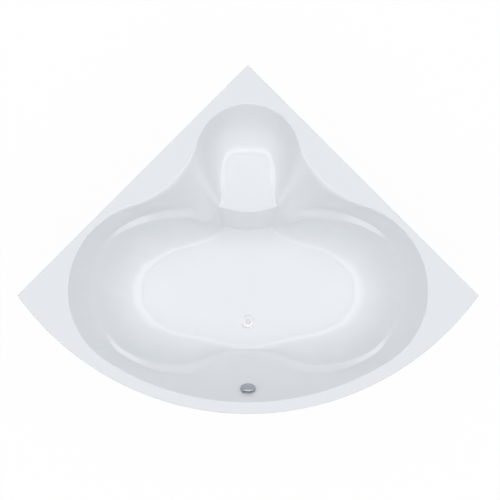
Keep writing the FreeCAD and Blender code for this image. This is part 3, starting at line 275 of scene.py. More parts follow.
# the floor's rings close in on this reach, down to this share of their size
HEART_REACH, HEART_SHARE = 1030.0, 0.02
RINGS = {"deck": 3, "corner": 7, "wall": 16, "ledge": 5, "well": 20, "floor": 9}


def basin_rings(loops, soft, growth, lowered):
    """Rings of the basin from the deck to the floor's middle, grown sideways and lowered."""
    grown = {}
    for name, loop in loops.items():
        moved = loop.copy()
        moved[:, :2] += outward_normals(loop[:, :2]) * growth
        grown[name] = moved
    rim = at_height(grown["rim"], RIM - lowered)
    outer, inner = grown["outer"], grown["inner"]
    outer[:, 2] -= lowered
    inner[:, 2] -= lowered
    floor = at_height(grown["floor"], FLOOR - lowered)
    floor[:, 2] += dish(floor)
    roll = soft[:, 0:1]
    deck = rim.copy()
    deck[:, :2] += outward_normals(loops["rim"][:, :2]) * roll * ROLL_ROOM
    heart = REACH / 2 - HEART_REACH
    middle = np.zeros_like(floor)
    middle[:, 0] = floor[:, 0] * HEART_SHARE
    middle[:, 1] = heart + (floor[:, 1] - heart) * HEART_SHARE
    middle[:, 2] = FLOOR - lowered

    def walled(top, foot, hollow):
        def place(u):
            point = top + (foot - top) * run_share(u, hollow)
            point[:, 2:] = top[:, 2:] + (foot[:, 2:] - top[:, 2:]) * u
            return point
        return place

    def straight(first, last):
        return lambda u: first + (last - first) * u

    def bottom(u):
        point = floor + (middle - floor) * u
        point[:, 2] = FLOOR - lowered + dish(point)
        return point

    stretches = [(straight(deck, rim), "deck"), (walled(rim, outer, soft[:, 4:5]), "wall"),
                 (straight(outer, inner), "ledge"), (walled(inner, floor, soft[:, 5:6]), "well"),
                 (bottom, "floor")]
    corners = [rim, outer, inner, floor]
    lengths = []
    for place, _ in stretches:
        track = [place(np.full((len(rim), 1), s)) for s in np.linspace(0, 1, 9)]
        pieces = [np.linalg.norm(b - a, axis=1) for a, b in zip(track, track[1:])]
        lengths.append(sum(pieces)[:, None])
    begins, ends = [np.zeros((len(rim), 1))], []
    for count in range(len(corners)):
        reach = soft[:, count:count + 1]
        ends.append(1 - np.minimum(reach / lengths[count], ROUNDING_LIMIT))
        begins.append(np.minimum(reach / lengths[count + 1], ROUNDING_LIMIT))
    ends.append(np.ones((len(rim), 1)))
    rings = []
    for count, (place, name) in enumerate(stretches):
        number = RINGS[name]
        for step in range(number + 1):
            share = begins[count] + (ends[count] - begins[count]) * step / number
            rings.append(place(share))
        if count < len(corners):
            first = place(ends[count])
            last = stretches[count + 1][0](begins[count + 1])
            for step in range(1, RINGS["corner"] + 1):
                rings.append(bezier(first, corners[count], last, step / (RINGS["corner"] + 1)))
    return rings


# nook between seat, riser and ledge: (across, reach) of its middle, its size, passes and pull
NOOK, NOOK_RADIUS, NOOK_PASSES, NOOK_PULL = (176.0, 706.0), 92.0, 60, 0.8


def blended(rings):
    """Evens out the two nooks, where the rulings fan out."""
    grid = np.array(rings)
    away = np.hypot(np.abs(grid[..., 0]) - NOOK[0], REACH / 2 - grid[..., 1] - NOOK[1])
    share = np.clip(1 - away / NOOK_RADIUS, 0, 1)
    weight = (share**2 * (3 - 2 * share))[..., None]
    weight[0] = weight[-1] = 0.0
    for _ in range(NOOK_PASSES):
        mean = grid.copy()
        beside = np.roll(grid, 1, 1)[1:-1], np.roll(grid, -1, 1)[1:-1]
        mean[1:-1] = (grid[:-2] + grid[2:] + beside[0] + beside[1]) / 4
        grid += weight * NOOK_PULL * (mean - grid)
    return list(grid)


# fillet along each side of the seat: how far it reaches to either side of the crease, the slope of
# the wall there, its first and last station, and the shares of its length that fade in and out
FILLET, FILLET_SLOPE = 24.0, 0.75
FILLET_STATIONS, FILLET_PIECES = (3.0, 6.0), 60
FILLET_FADE_IN, FILLET_FADE_OUT = 0.35, 0.12
# points lower than this under the seat belong to the riser
SEAT_TOLERANCE = 4.0


def seat_sides_filled(rings):
    """Fills the crease along each side of the seat, where the rulings run along it."""
    grid = np.array(rings)
    crease = through([row[0] for row in SECTIONS], np.linspace(*FILLET_STATIONS, FILLET_PIECES + 1))
    near = grid[..., 2] > SEAT - SEAT_TOLERANCE
    points = np.stack([np.abs(grid[near][:, 0]), REACH / 2 - grid[near][:, 1]], axis=-1)
    away = np.full(len(points), np.inf)
    place = np.zeros(len(points))
    for count, (a, b) in enumerate(zip(crease[:, :2], crease[1:, :2])):
        share = np.clip(((points - a) @ (b - a)) / ((b - a) @ (b - a)), 0, 1)
        distance = np.linalg.norm(points - a - share[:, None] * (b - a), axis=1)
        closer = distance < away
        away[closer] = distance[closer]
        place[closer] = (count + share[closer]) / FILLET_PIECES
    fade = np.clip(np.minimum(place / FILLET_FADE_IN, (1 - place) / FILLET_FADE_OUT), 0, 1)
    lift = FILLET_SLOPE * np.clip(FILLET - away, 0, None)**2 / (4 * FILLET)
    grid[..., 2][near] += lift * fade
    return list(grid)


def corner_away(bow_inset, side_inset):
    """Distance from the centre line at which the bow meets a side, each moved in."""
    half = (BOW_REACH - side_inset * math.sqrt(2)) / 2
    return half + math.sqrt((BOW_RADIUS - bow_inset)**2 / 2 - half**2)


# rays from this reach on the centre line pair the opening with the outer outline
FAN_REACH = 960.0


def outline_places(rim):
    """For each sample, where the outer outline lies abreast of it: (on the front, share)."""
    half = rim[:HALF_SAMPLES + 1]
    angles = np.arctan2(half[:, 0], half[:, 1] - (REACH / 2 - FAN_REACH))
    corner = math.atan2(HALF, FAN_REACH - HALF)
    offset = BOW_REACH - FAN_REACH
    places = []
    for angle in angles:
        x, y = math.sin(angle), math.cos(angle)
        if angle <= corner:
            # ray meets the straight side: reach equals the distance from the centre line
            distance = FAN_REACH / (x + y)
            places.append((0, distance * x / HALF))
        else:
            distance = -y * offset + math.sqrt((y * offset)**2 - offset**2 + BOW_RADIUS**2)
            turn = math.atan2(distance * x, -(distance * y + offset))
            places.append((1, 1 - turn / math.atan2(HALF, HALF - BOW_REACH)))
    nearest = int(np.argmin(np.abs(angles - corner)))
    places[nearest] = (0, 1.0)
    return places


def outline_ring(places, inset, height):
    """The bath's outer outline, moved in by inset."""
    away = corner_away(inset, inset)
    tip = inset * math.sqrt(2)
    radius = BOW_RADIUS - inset
    widest = math.asin(away / radius)
    points = []
    for on_front, share in places:
        if on_front:
            turn = widest * (1 - share)
            points.append((radius * math.sin(turn), BOW_REACH + radius * math.cos(turn)))
        else:
            points.append((away * share, tip + away * share))
    loop = mirrored(np.array(points))
    loop[:, 1] = REACH / 2 - loop[:, 1]
    return at_height(loop, height)


# roundings of the deck's outer edge and of the lip's lower edge, and the number of edge rings from
# the deck on that show acrylic; behind them comes the laminate
EDGE_ROUND, LIP_ROUND = 4.0, 2.0
ACRYLIC_EDGE_RINGS = 12


def shell_rings():
    """Closed shell, ring by ring: basin, deck, turned-down edge, and the back of them all."""
    loops, soft = shell_outlines()
    top = seat_sides_filled(blended(basin_rings(loops, soft, 0.0, 0.0)))
    back = blended(basin_rings(loops, soft, WALL, WALL))
    foot = RIM - LIP
    edge = [(EDGE_ROUND + 8, RIM), (EDGE_ROUND + 2, RIM)]
    for turn in np.linspace(0, math.pi / 2, 7):
        edge.append((EDGE_ROUND * (1 - math.sin(turn)), RIM - EDGE_ROUND * (1 - math.cos(turn))))
    edge += [(0.0, RIM - EDGE_ROUND - 3), (0.0, foot + LIP_ROUND + 2)]
    for turn in np.linspace(0, math.pi / 2, 4):
        edge.append((LIP_ROUND * (1 - math.cos(turn)), foot + LIP_ROUND * (1 - math.sin(turn))))
    edge += [(WALL, foot), (WALL, foot + 3), (WALL, RIM - WALL - 3), (WALL, RIM - WALL),
             (WALL + 3, RIM - WALL)]
    places = outline_places(loops["rim"])
    edge = [outline_ring(places, inset, height) for inset, height in edge]
    return top[::-1] + edge + back, len(top) + ACRYLIC_EDGE_RINGS


# ---- meshes
def linked(name, data):
    obj = bpy.data.objects.new(name, data)
    bpy.context.scene.collection.objects.link(obj)
    return obj


def mesh_object(name, points, faces, sharp_degrees=40):
    """Plain mesh from points in millimetres, with its normals outward."""
    mesh = bpy.data.meshes.new(name)
    mesh.from_pydata([tuple(p) for p in np.asarray(points) * MM], [], faces)
    work = bmesh.new()
    work.from_mesh(mesh)
    bmesh.ops.recalc_face_normals(work, faces=work.faces)
    work.to_mesh(mesh)
    work.free()
    mesh.shade_smooth()
    mesh.set_sharp_from_angle(angle=math.radians(sharp_degrees))
    return linked(name, mesh)


def dress(obj, body, slot, *replaced):
    """Hangs a piece on the empty of the body it rides, and hides the CAD nodes it stands for.

    A piece without a material of its own gets the finish of its slot.
    """
    if not obj.data.materials:
        obj.data.materials.append(FINISHES[slot])
    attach(obj, body)
    if replaced:
        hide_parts(*replaced)


def grid_faces(rows, count, closed_rows=False):
    faces = []
    for row in range(rows if closed_rows else rows - 1):
        low, high = row * count, (row + 1) % rows * count
        for column in range(count):
            after = (column + 1) % count
            faces.append((low + column, low + after, high + after, high + column))
    return faces


def rounded(corners, steps):
    """Closed outline with each corner (x, y, rounding, ...) turned into a short curve."""
    outline = []
    for count, corner in enumerate(corners):
        here = np.array(corner[:2], float)
        if corner[2] == 0:
            outline.append((here, corner[3:]))
            continue
        before = np.array(corners[count - 1][:2], float) - here
        after = np.array(corners[(count + 1) % len(corners)][:2], float) - here
        long_before, long_after = np.linalg.norm(before), np.linalg.norm(after)
        first = here + before / long_before * min(corner[2], long_before * ROUNDING_LIMIT)
        last = here + after / long_after * min(corner[2], long_after * ROUNDING_LIMIT)
        for step in range(steps + 1):
            outline.append((bezier(first, here, last, step / steps), corner[3:]))
    return outline


def round_angles(columns):
    return np.arange(columns) * 2 * math.pi / columns


def six_sided(flats):
    """Form of a turned row that is cut to a hexagon."""
    def radii(radius, angles):
        off = np.mod(angles, math.pi / 3) - math.pi / 6
        return np.minimum(radius, flats / 2 / np.cos(off))
    return radii


def ribbed(number, depth):
    """Form of a turned row with grip ribs."""
    return lambda radius, angles: radius - depth * (0.5 - 0.5 * np.cos(angles * number))**2


def turned(name, profile, place=Matrix(), columns=96, steps=4):
    """Closed body of revolution. Profile corners are (radius, height, rounding[, form])."""
    angles = round_angles(columns)
    points, starts = [], []
    for (radius, height), form in rounded(profile, steps):
        on_axis = radius < 1e-6
        starts.append((len(points), on_axis))
        if on_axis:
            points.append((0.0, 0.0, height))
            continue
        radii = form[0](radius, angles) if form else np.full(columns, radius)
        points.extend(zip(radii * np.cos(angles), radii * np.sin(angles),
                          np.full(columns, height)))
    faces = []
    for (low, low_pole), (high, high_pole) in zip(starts, starts[1:] + starts[:1]):
        for column in range(columns):
            after = (column + 1) % columns
            corners = [low if low_pole else low + column, low if low_pole else low + after,
                       high if high_pole else high + after, high if high_pole else high + column]
            corners = list(dict.fromkeys(corners))
            if len(corners) > 2:
                faces.append(corners)
    points = [place @ Vector(p) for p in points]
    return mesh_object(name, points, faces)


def swept(name, loops):
    """Tube from closed loops of points; its first and last loop are each closed by a face."""
    count = len(loops[0])
    faces = grid_faces(len(loops), count)
    faces.append(tuple(range(count)))
    faces.append(tuple((len(loops) - 1) * count + k for k in range(count)))
    return mesh_object(name, np.concatenate(loops), faces)


def hollow_swept(name, outside, inside):
    """Pipe from matching outer and inner loops, joined at both ends."""
    loops = outside + inside[::-1]
    return mesh_object(name, np.concatenate(loops), grid_faces(len(loops), len(loops[0]), True))


def plain_copy(obj):
    """Replaces a piece's mesh by its evaluated one and drops its modifiers."""
    graph = bpy.context.evaluated_depsgraph_get()
    mesh = bpy.data.meshes.new_from_object(obj.evaluated_get(graph), depsgraph=graph)
    obj.modifiers.clear()
    obj.data = mesh


def drilled(obj, *cutters):
    """Cuts the cutters out of a piece and deletes them."""
    for cutter in cutters:
        boolean = obj.modifiers.new("hole", "BOOLEAN")
        boolean.object = cutter
        boolean.operation = "DIFFERENCE"
        boolean.solver = "EXACT"
    plain_copy(obj)
    for cutter in cutters:
        bpy.data.objects.remove(cutter)


def drill(radius, low, high, place):
    corners = [(0, low, 0), (radius, low, 0), (radius, high, 0), (0, high, 0)]
    return turned("drill", corners, place, 64)


def upright_at(x, y, z=0.0):
    return Matrix.Translation((x, y, z))


# ---- materials
def srgb(code):
    """Hex colour as the linear values that a shader takes."""
    channels = [int(code[k:k + 2], 16) / 255 for k in (0, 2, 4)]
    return [c / 12.92 if c <= 0.04045 else ((c + 0.055) / 1.055)**2.4 for c in channels] + [1.0]


def per_metre(size):
    """Scale of a texture whose cells are this many millimetres wide."""
    return 1 / (size * MM)


def node(tree, kind, links=None, **settings):
    """Adds a node, sets its fields and input sockets, and links inputs to other sockets."""
    made = tree.nodes.new(kind)
    for key, value in settings.items():
        name = key.replace("_", " ")
        if name in made.inputs:
            made.inputs[name].default_value = value
        else:
            setattr(made, key, value)
    for key, socket in (links or {}).items():
        tree.links.new(socket, made.inputs[key])
    return made


def blank_tree(owner):
    """Empty node tree of a material or of the world."""
    owner.use_nodes = True
    owner.node_tree.nodes.clear()
    return owner.node_tree


def surface(name, code, roughness, metal=0.0, uneven=0.0, cell=1.0, bump=0.0, colours=None):
    """Principled material. If uneven, its gloss and height vary over cells, and colours mix."""
    made = bpy.data.materials.new(name)
    tree = blank_tree(made)
    shader = node(tree, "ShaderNodeBsdfPrincipled", Metallic=metal, Roughness=roughness,
                  Base_Color=srgb(code))
    node(tree, "ShaderNodeOutputMaterial", {"Surface": shader.outputs[0]})
    if not uneven:
        return made
    place = node(tree, "ShaderNodeTexCoord").outputs["Object"]
    noise = node(tree, "ShaderNodeTexNoise", {"Vector": place}, Scale=per_metre(cell), Detail=3.0)
    # the noise stays between about 0.3 and 0.7
    gloss = node(tree, "ShaderNodeMapRange", {"Value": noise.outputs[0]}, From_Min=0.3,
                 From_Max=0.7, To_Min=roughness - uneven, To_Max=roughness + uneven)
    tree.links.new(gloss.outputs[0], shader.inputs["Roughness"])
    if bump:
        raised = node(tree, "ShaderNodeBump", {"Height": noise.outputs[0]}, Distance=bump * MM)
        tree.links.new(raised.outputs[0], shader.inputs["Normal"])
    if colours:
        flake, *tints = colours
        flakes = node(tree, "ShaderNodeTexVoronoi", {"Vector": place}, Scale=per_metre(flake))
        ramp = node(tree, "ShaderNodeValToRGB", {"Fac": flakes.outputs["Color"]})
        stops = ramp.color_ramp.elements
        for count, tint in enumerate(tints):
            at = count / (len(tints) - 1)
            stop = stops[count] if count < 2 else stops.new(at)
            stop.position = at
            stop.color = srgb(tint)
        tree.links.new(ramp.outputs[0], shader.inputs["Base Color"])
    return made


# bath, seen from above: even cool white, high gloss, soft long highlights on every bend
ACRYLIC = surface("sanitary acrylic, thermoformed", "E9EBED", 0.14)
# underside of the bath: resin-rich glass mat, dull yellowish white with a rolled, fibrous relief
LAMINATE = surface("glass-fibre laminate, rolled", "CFCBB6", 0.5, uneven=0.12, cell=9.0, bump=0.5,
                   colours=(2.4, "C2BDA4", "DAD7C6", "CFCBB8"))
# knob: satin chrome, a grey blurred mirror of the basin
SATIN_CHROME = surface("satin chrome plate", "B3B6BA", 0.4, metal=1.0, uneven=0.03, cell=2.0)
# overflow collar and spindle, and the screw caps: plain white moulding
COLLAR_WHITE = surface("white collar moulding", "DADBDA", 0.3, uneven=0.04, cell=2.0)
FINISHES = {
    "acrylic": ACRYLIC,
    "collar_plastic": COLLAR_WHITE,
    # cradle: light grey satin powder coat with a fine orange peel
    "frame_paint": surface("powder coat on steel tube", "A9ABAD", 0.38, uneven=0.05, cell=1.6,
                           bump=0.03),
    # rods, nuts and screws: pale bluish zinc plate, slightly mottled
    "zinc": surface("zinc plate on steel", "C3C7CB", 0.3, metal=1.0, uneven=0.08, cell=3.0),
    # pads, caps and blocks: black, fine grained, low sheen
    "black_plastic": surface("black polypropylene, grained", "17181A", 0.5, uneven=0.07, cell=0.7,
                             bump=0.02),
    # traps and housings: white polypropylene, satin from the mould
    "drain_plastic": surface("white polypropylene, moulded", "DFE0DD", 0.33, uneven=0.05, cell=2.0),
    # overflow hose: grey, translucent-looking polyethylene, satin
    "hose_plastic": surface("grey polyethylene, corrugated", "8B8E90", 0.42, uneven=0.05, cell=4.0),
    # seals: dead black, no highlight
    "rubber": surface("black rubber", "101011", 0.75, uneven=0.05, cell=1.0),
    # plug and flange: softly polished chrome, a pale mirror that blurs what it shows
    "chrome": surface("chrome plate, soft polish", "DADCDF", 0.33, metal=1.0),
    # boards: raw chipboard, pressed tan flakes of several browns
    "chipboard": surface("raw chipboard", "B08D62", 0.85, uneven=0.08, cell=3.0, bump=0.1,
                         colours=(3.2, "8F6B45", "C9A878", "B48F63", "D6B98E")),
}


# ---- places taken from the CAD model
def span(name):
    """Lowest and highest corner of a CAD node, in mm."""
    low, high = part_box(name)
    return np.array(low) / MM, np.array(high) / MM


def middle_of(name):
    low, high = span(name)
    return (low + high) / 2


WASTE = (0.0, float(middle_of("plug_stem")[1]))
# where the overflow's axis leaves the front wall, and the wall's normal there
WALL_POINT = Vector((0.0, -695.446, 520.0))
WALL_NORMAL = Vector((0.0, 0.879715, 0.475521))


def square_to_wall():
    """Local Z runs out of the front wall at the overflow, local Y down the wall."""
    down = WALL_NORMAL.cross(Vector((1, 0, 0)))
    turn = Matrix((Vector((1, 0, 0)), down, WALL_NORMAL)).transposed().to_4x4()
    return Matrix.Translation(WALL_POINT) @ turn


ON_WALL = square_to_wall()
ON_WASTE = upright_at(*WASTE, FLOOR)
# holes in the shell, and how far below and above its surface their cutters reach
HOLE_RADIUS, WASTE_CUT, OVERFLOW_CUT = 26.0, (-18, 6), (-20, 12)


# ---- bath shell
def bath_shell():
    rings, front_rows = shell_rings()
    count = len(rings[0])
    points = list(np.concatenate(rings))
    faces = grid_faces(len(rings), count)
    last = (len(rings) - 1) * count
    for start, ring in ((0, rings[0]), (last, rings[-1])):
        pole = len(points)
        points.append(ring.mean(axis=0))
        faces += [(start + column, start + (column + 1) % count, pole) for column in range(count)]
    shell = mesh_object("bath_shell_skin", points, faces, sharp_degrees=60)
    shell.data.materials.append(ACRYLIC)
    shell.data.materials.append(LAMINATE)
    behind = np.zeros(len(faces), dtype=int)
    behind[front_rows * count:last] = 1
    behind[last + count:] = 1
    shell.data.polygons.foreach_set("material_index", behind)
    drilled(shell, drill(HOLE_RADIUS, *WASTE_CUT, ON_WASTE),
            drill(HOLE_RADIUS, *OVERFLOW_CUT, ON_WALL))
    dress(shell, "tub", "acrylic", "bath_shell")


# ---- steel cradle
# tube wall and its edges' rounding outside and inside; holes for the foot rods, and how far
# their cutters stand out
TUBE_WALL, TUBE_ROUND, BORE_ROUND = 2.0, 3.0, 1.5
ROD_HOLE, CUT_ROOM = 6.8, 5.0


def box_loop(half_width, half_height, corner, steps=4):
    """Rectangle with rounded corners."""
    corners = [(half_width, half_height, corner), (-half_width, half_height, corner),
               (-half_width, -half_height, corner), (half_width, -half_height, corner)]
    return [point for point, _ in rounded(corners, steps)]


def square_tube(name):
    """Cold-formed square tube with rounded edges and open ends, along its longest side."""
    low, high = span(name)
    axis = int(np.argmax(high - low))
    across = [k for k in range(3) if k != axis]
    centre = (low + high) / 2
    half = (high - low)[across[0]] / 2
    loops = []
    for size, corner in ((half, TUBE_ROUND), (half - TUBE_WALL, BORE_ROUND)):
        outline = np.array(box_loop(size, size, corner))
        pair = []
        for end in (low[axis], high[axis]):
            ring = np.zeros((len(outline), 3))
            ring[:, axis] = end
            ring[:, across[0]] = centre[across[0]] + outline[:, 0]
            ring[:, across[1]] = centre[across[1]] + outline[:, 1]
            pair.append(ring)
        loops.append(pair)
    return hollow_swept(name + "_tube", *loops)


FEET = ["corner", "left", "right", "front_left", "front_right"]
FOOT_XY = {name: [float(v) for v in middle_of("foot_rod_" + name)[:2]] for name in FEET}
FOOT_RAILS = {"front_rail": ("left", "right"), "spine_rail": ("corner",),
              "arm_left": ("front_left",), "arm_right": ("front_right",)}
TUBES = [part["node"] for part in frame["record"]["subparts"]
         if part["material_slot"] == "frame_paint"]


def cradle():
    for name in TUBES:
        tube = square_tube(name)
        low, high = span(name)
        reach = low[2] - CUT_ROOM, high[2] + CUT_ROOM
        cutters = [drill(ROD_HOLE, *reach, upright_at(*FOOT_XY[foot]))
                   for foot in FOOT_RAILS.get(name, ())]
        if cutters:
            drilled(tube, *cutters)
        dress(tube, "tub", "frame_paint", name)


# ---- repeats
def repeat_group():
    """Geometry nodes: one piece at every point of a mesh, turned by the point's own angles."""
    group = bpy.data.node_groups.new("piece at points", "GeometryNodeTree")
    group.interface.new_socket("Points", in_out="INPUT", socket_type="NodeSocketGeometry")
    piece = group.interface.new_socket("Piece", in_out="INPUT", socket_type="NodeSocketObject")
    group.interface.new_socket("Geometry", in_out="OUTPUT", socket_type="NodeSocketGeometry")
    given = node(group, "NodeGroupInput")
    turn = node(group, "GeometryNodeInputNamedAttribute", data_type="FLOAT_VECTOR", Name="turn")
    source = node(group, "GeometryNodeObjectInfo", {"Object": given.outputs["Piece"]})
    spots = node(group, "GeometryNodeMeshToPoints", {"Mesh": given.outputs["Points"]})
    copies = node(group, "GeometryNodeInstanceOnPoints",
                  {"Points": spots.outputs[0], "Instance": source.outputs["Geometry"],
                   "Rotation": turn.outputs[0]})
    plain = node(group, "GeometryNodeRealizeInstances", {"Geometry": copies.outputs[0]})
    node(group, "NodeGroupOutput", {"Geometry": plain.outputs[0]})
    return group, piece.identifier


REPEAT, REPEATED_PIECE = repeat_group()


def repeated(name, piece, spots):
    """Copies of a piece at spots (x, y, z[, turns about X, Y, Z]), as one plain mesh."""
    mesh = bpy.data.meshes.new(name)
    mesh.from_pydata([tuple(c * MM for c in spot[:3]) for spot in spots], [], [])
    turns = mesh.attributes.new("turn", "FLOAT_VECTOR", "POINT")
    for value, spot in zip(turns.data, spots):
        value.vector = spot[3:] or (0.0, 0.0, 0.0)
    obj = linked(name, mesh)
    modifier = obj.modifiers.new("repeat", "NODES")
    modifier.node_group = REPEAT
    modifier[REPEATED_PIECE] = piece
    plain_copy(obj)
    obj.data.materials.clear()  # the copies come with an empty slot
    bpy.data.objects.remove(piece)
    return obj


# ---- screw feet
# M12 thread with chamfered ends; bore of the nuts and pads around it
ROD, PITCH, THREAD_DEPTH, THREAD_CHAMFER = 6.0, 1.75, 1.05, 1.3
ROD_BORE, NUT_FLATS, NUT_HEIGHT, PAD_NECK_FLATS = 6.08, 18.0, 10.0, 22.0
ROWS_PER_TURN, ROD_COLUMNS = 6, 24


def threaded_rod(name, x, y, low, high):
    """Rod with a rolled M12 thread, drawn as one helical skin with chamfered ends."""
    rows = int((high - low) / PITCH * ROWS_PER_TURN)
    angles = round_angles(ROD_COLUMNS)
    loops = []
    for row in range(rows + 1):
        height = low + (high - low) * row / rows
        wave = np.mod((height - low) / PITCH - angles / (2 * math.pi), 1.0)
        radii = ROD - THREAD_DEPTH * (1 - np.abs(2 * wave - 1))
        from_end = min(height - low, high - height)
        radii = np.minimum(radii, ROD - THREAD_CHAMFER + from_end)
        loops.append(np.stack([x + radii * np.cos(angles), y + radii * np.sin(angles),
                               np.full(ROD_COLUMNS, height)], axis=-1))
    return swept(name, loops)


def hexagon_nut():
    """Nut with both faces chamfered and a countersunk bore."""
    form = six_sided(NUT_FLATS)
    face, corner, height = NUT_FLATS / 2 - 0.4, NUT_FLATS / 2 + 1.5, NUT_HEIGHT
    return turned("nut", [
        (ROD_BORE, 1, 0), (ROD_BORE + 1, 0, 0), (face, 0, 0), (corner, 0.9, 0.2, form),
        (corner, height - 0.9, 0.2, form), (face, height, 0), (ROD_BORE + 1, height, 0),
        (ROD_BORE, height - 1, 0)], columns=72)


def screw_feet():
    for node_name in ("weld_nuts", "lock_nuts"):
        low = float(span(node_name)[0][2])
        spots = [(x, y, low) for x, y in FOOT_XY.values()]
        dress(repeated(node_name + "_made", hexagon_nut(), spots), "tub", "zinc", node_name)
    neck = six_sided(PAD_NECK_FLATS)
    for name, (x, y) in FOOT_XY.items():
        body = "foot_" + name
        low, high = span("foot_rod_" + name)
        rod = threaded_rod("foot_screw_" + name, x, y, float(low[2]), float(high[2]))
        dress(rod, body, "zinc", "foot_rod_" + name)
        pad = turned("foot_pad_moulded_" + name, [
            (0, 0, 0), (27, 0, 0), (30, 1.2, 1.0), (30, 5.2, 1.6), (27.5, 7, 1.5), (17, 7.8, 2.5),
            (12.7, 11, 1.5, neck), (12.7, 23, 0.6, neck), (11.4, 24, 0.4, neck), (7.2, 24, 0.4),
            (ROD_BORE, 22.8, 0), (ROD_BORE, 6, 0), (0, 6, 0)], upright_at(x, y), 120)
        dress(pad, body, "black_plastic", "foot_pad_" + name)


# ---- front panel
# panel behind the lip, with an inward flange along its foot
PANEL_INSET, PANEL_THICK, PANEL_FLANGE = 8.0, 4.0, 20.0
PANEL_LOW, PANEL_HIGH, PANEL_COLUMNS = 25.0, 612.0, 180
# blocks behind the panel: half their height, and their distances from the centre line at the arms
# and at the side arms
BLOCK_HALF, BLOCKS_AT_ARMS, BLOCKS_AT_SIDES = 15.0, 350.0, 932.5


def bow_point(inset, turn, height):
    radius = BOW_RADIUS - inset
    return (radius * math.sin(turn), REACH / 2 - BOW_REACH - radius * math.cos(turn), height)


def front_panel():
    outside, inside = PANEL_INSET, PANEL_INSET + PANEL_THICK
    corners = [(outside, PANEL_HIGH, 1.5), (outside, PANEL_LOW, 5.0),
               (inside + PANEL_FLANGE, PANEL_LOW, 1.5),
               (inside + PANEL_FLANGE, PANEL_LOW + PANEL_THICK, 1.5),
               (inside, PANEL_LOW + PANEL_THICK, 3.0), (inside, PANEL_HIGH, 1.5)]
    section = [point for point, _ in rounded(corners, 5)]
    loops = []
    for column in range(PANEL_COLUMNS + 1):
        share = 2 * column / PANEL_COLUMNS - 1
        loop = []
        for inset, height in section:
            end = math.asin(corner_away(inset, PANEL_INSET) / (BOW_RADIUS - inset))
            loop.append(bow_point(inset, end * share, height))
        loops.append(loop)
    panel = swept("front_panel_bowed", loops)
    dress(panel, "tub", "acrylic", "front_panel")


def panel_screws():
    """White caps over the screws that hold the panel to the blocks behind it."""
    cap = turned("cap", [(0, 0, 0), (9, 0, 0), (10, 0.6, 0.5), (9.4, 2.6, 1.2), (6, 3.9, 2),
                         (0, 4.2, 2)], columns=48)
    spots = []
    upper = float(span("panel_clips")[1][2]) - BLOCK_HALF
    lower = float(middle_of("arm_left")[2])
    for offset, heights in ((BLOCKS_AT_ARMS, (upper, lower)), (BLOCKS_AT_SIDES, (lower,))):
        turn = math.asin(offset / (BOW_RADIUS - PANEL_INSET))
        for side in (1, -1):
            for height in heights:
                x, y, z = bow_point(PANEL_INSET, side * turn, height)
                spots.append((x, y, z, math.pi / 2, 0.0, side * turn))
    caps = repeated("panel_screw_caps", cap, spots)
    caps.data.materials.append(COLLAR_WHITE)
    dress(caps, "tub", "acrylic")


# ---- waste and trap
# heights in a profile run along the axis of the place that the piece is turned at
PORT_LEVEL, OUTLET_LEVEL, OUTLET_TURN = -42.0, 63.0, math.radians(20.0)
HUB_RADIUS, HUB_HEIGHT, BAR_ENDS = 7, 6, (6.5, 21.6)


def guide(stem, place, bore, low, rounding, slot):
    """Hub on a crossbar that guides a rod through a ring."""
    high = low + HUB_HEIGHT
    hub = turned(stem + "_guide", [(bore, low, 0.3), (HUB_RADIUS, low, rounding),
                                   (HUB_RADIUS, high, rounding), (bore, high, 0.3)], place)
    dress(hub, "tub", slot)
    for side, hand in ((1, "right"), (-1, "left")):
        bar = [[place @ Vector((side * run, y, low + HUB_HEIGHT / 2 + z))
                for y, z in box_loop(1.5, HUB_HEIGHT / 2, 0.7, 2)] for run in BAR_ENDS]
        dress(swept("%s_guide_bar_%s" % (stem, hand), bar), "tub", slot)


def drain_piece(name, profile, place, *replaced, columns=96, hole=None):
    """Turned piece of white drain plastic, with a hole (radius, low, high, place) in its side."""
    piece = turned(name, profile, place, columns)
    if hole:
        drilled(piece, drill(*hole))
    dress(piece, "tub", "drain_plastic", *replaced)


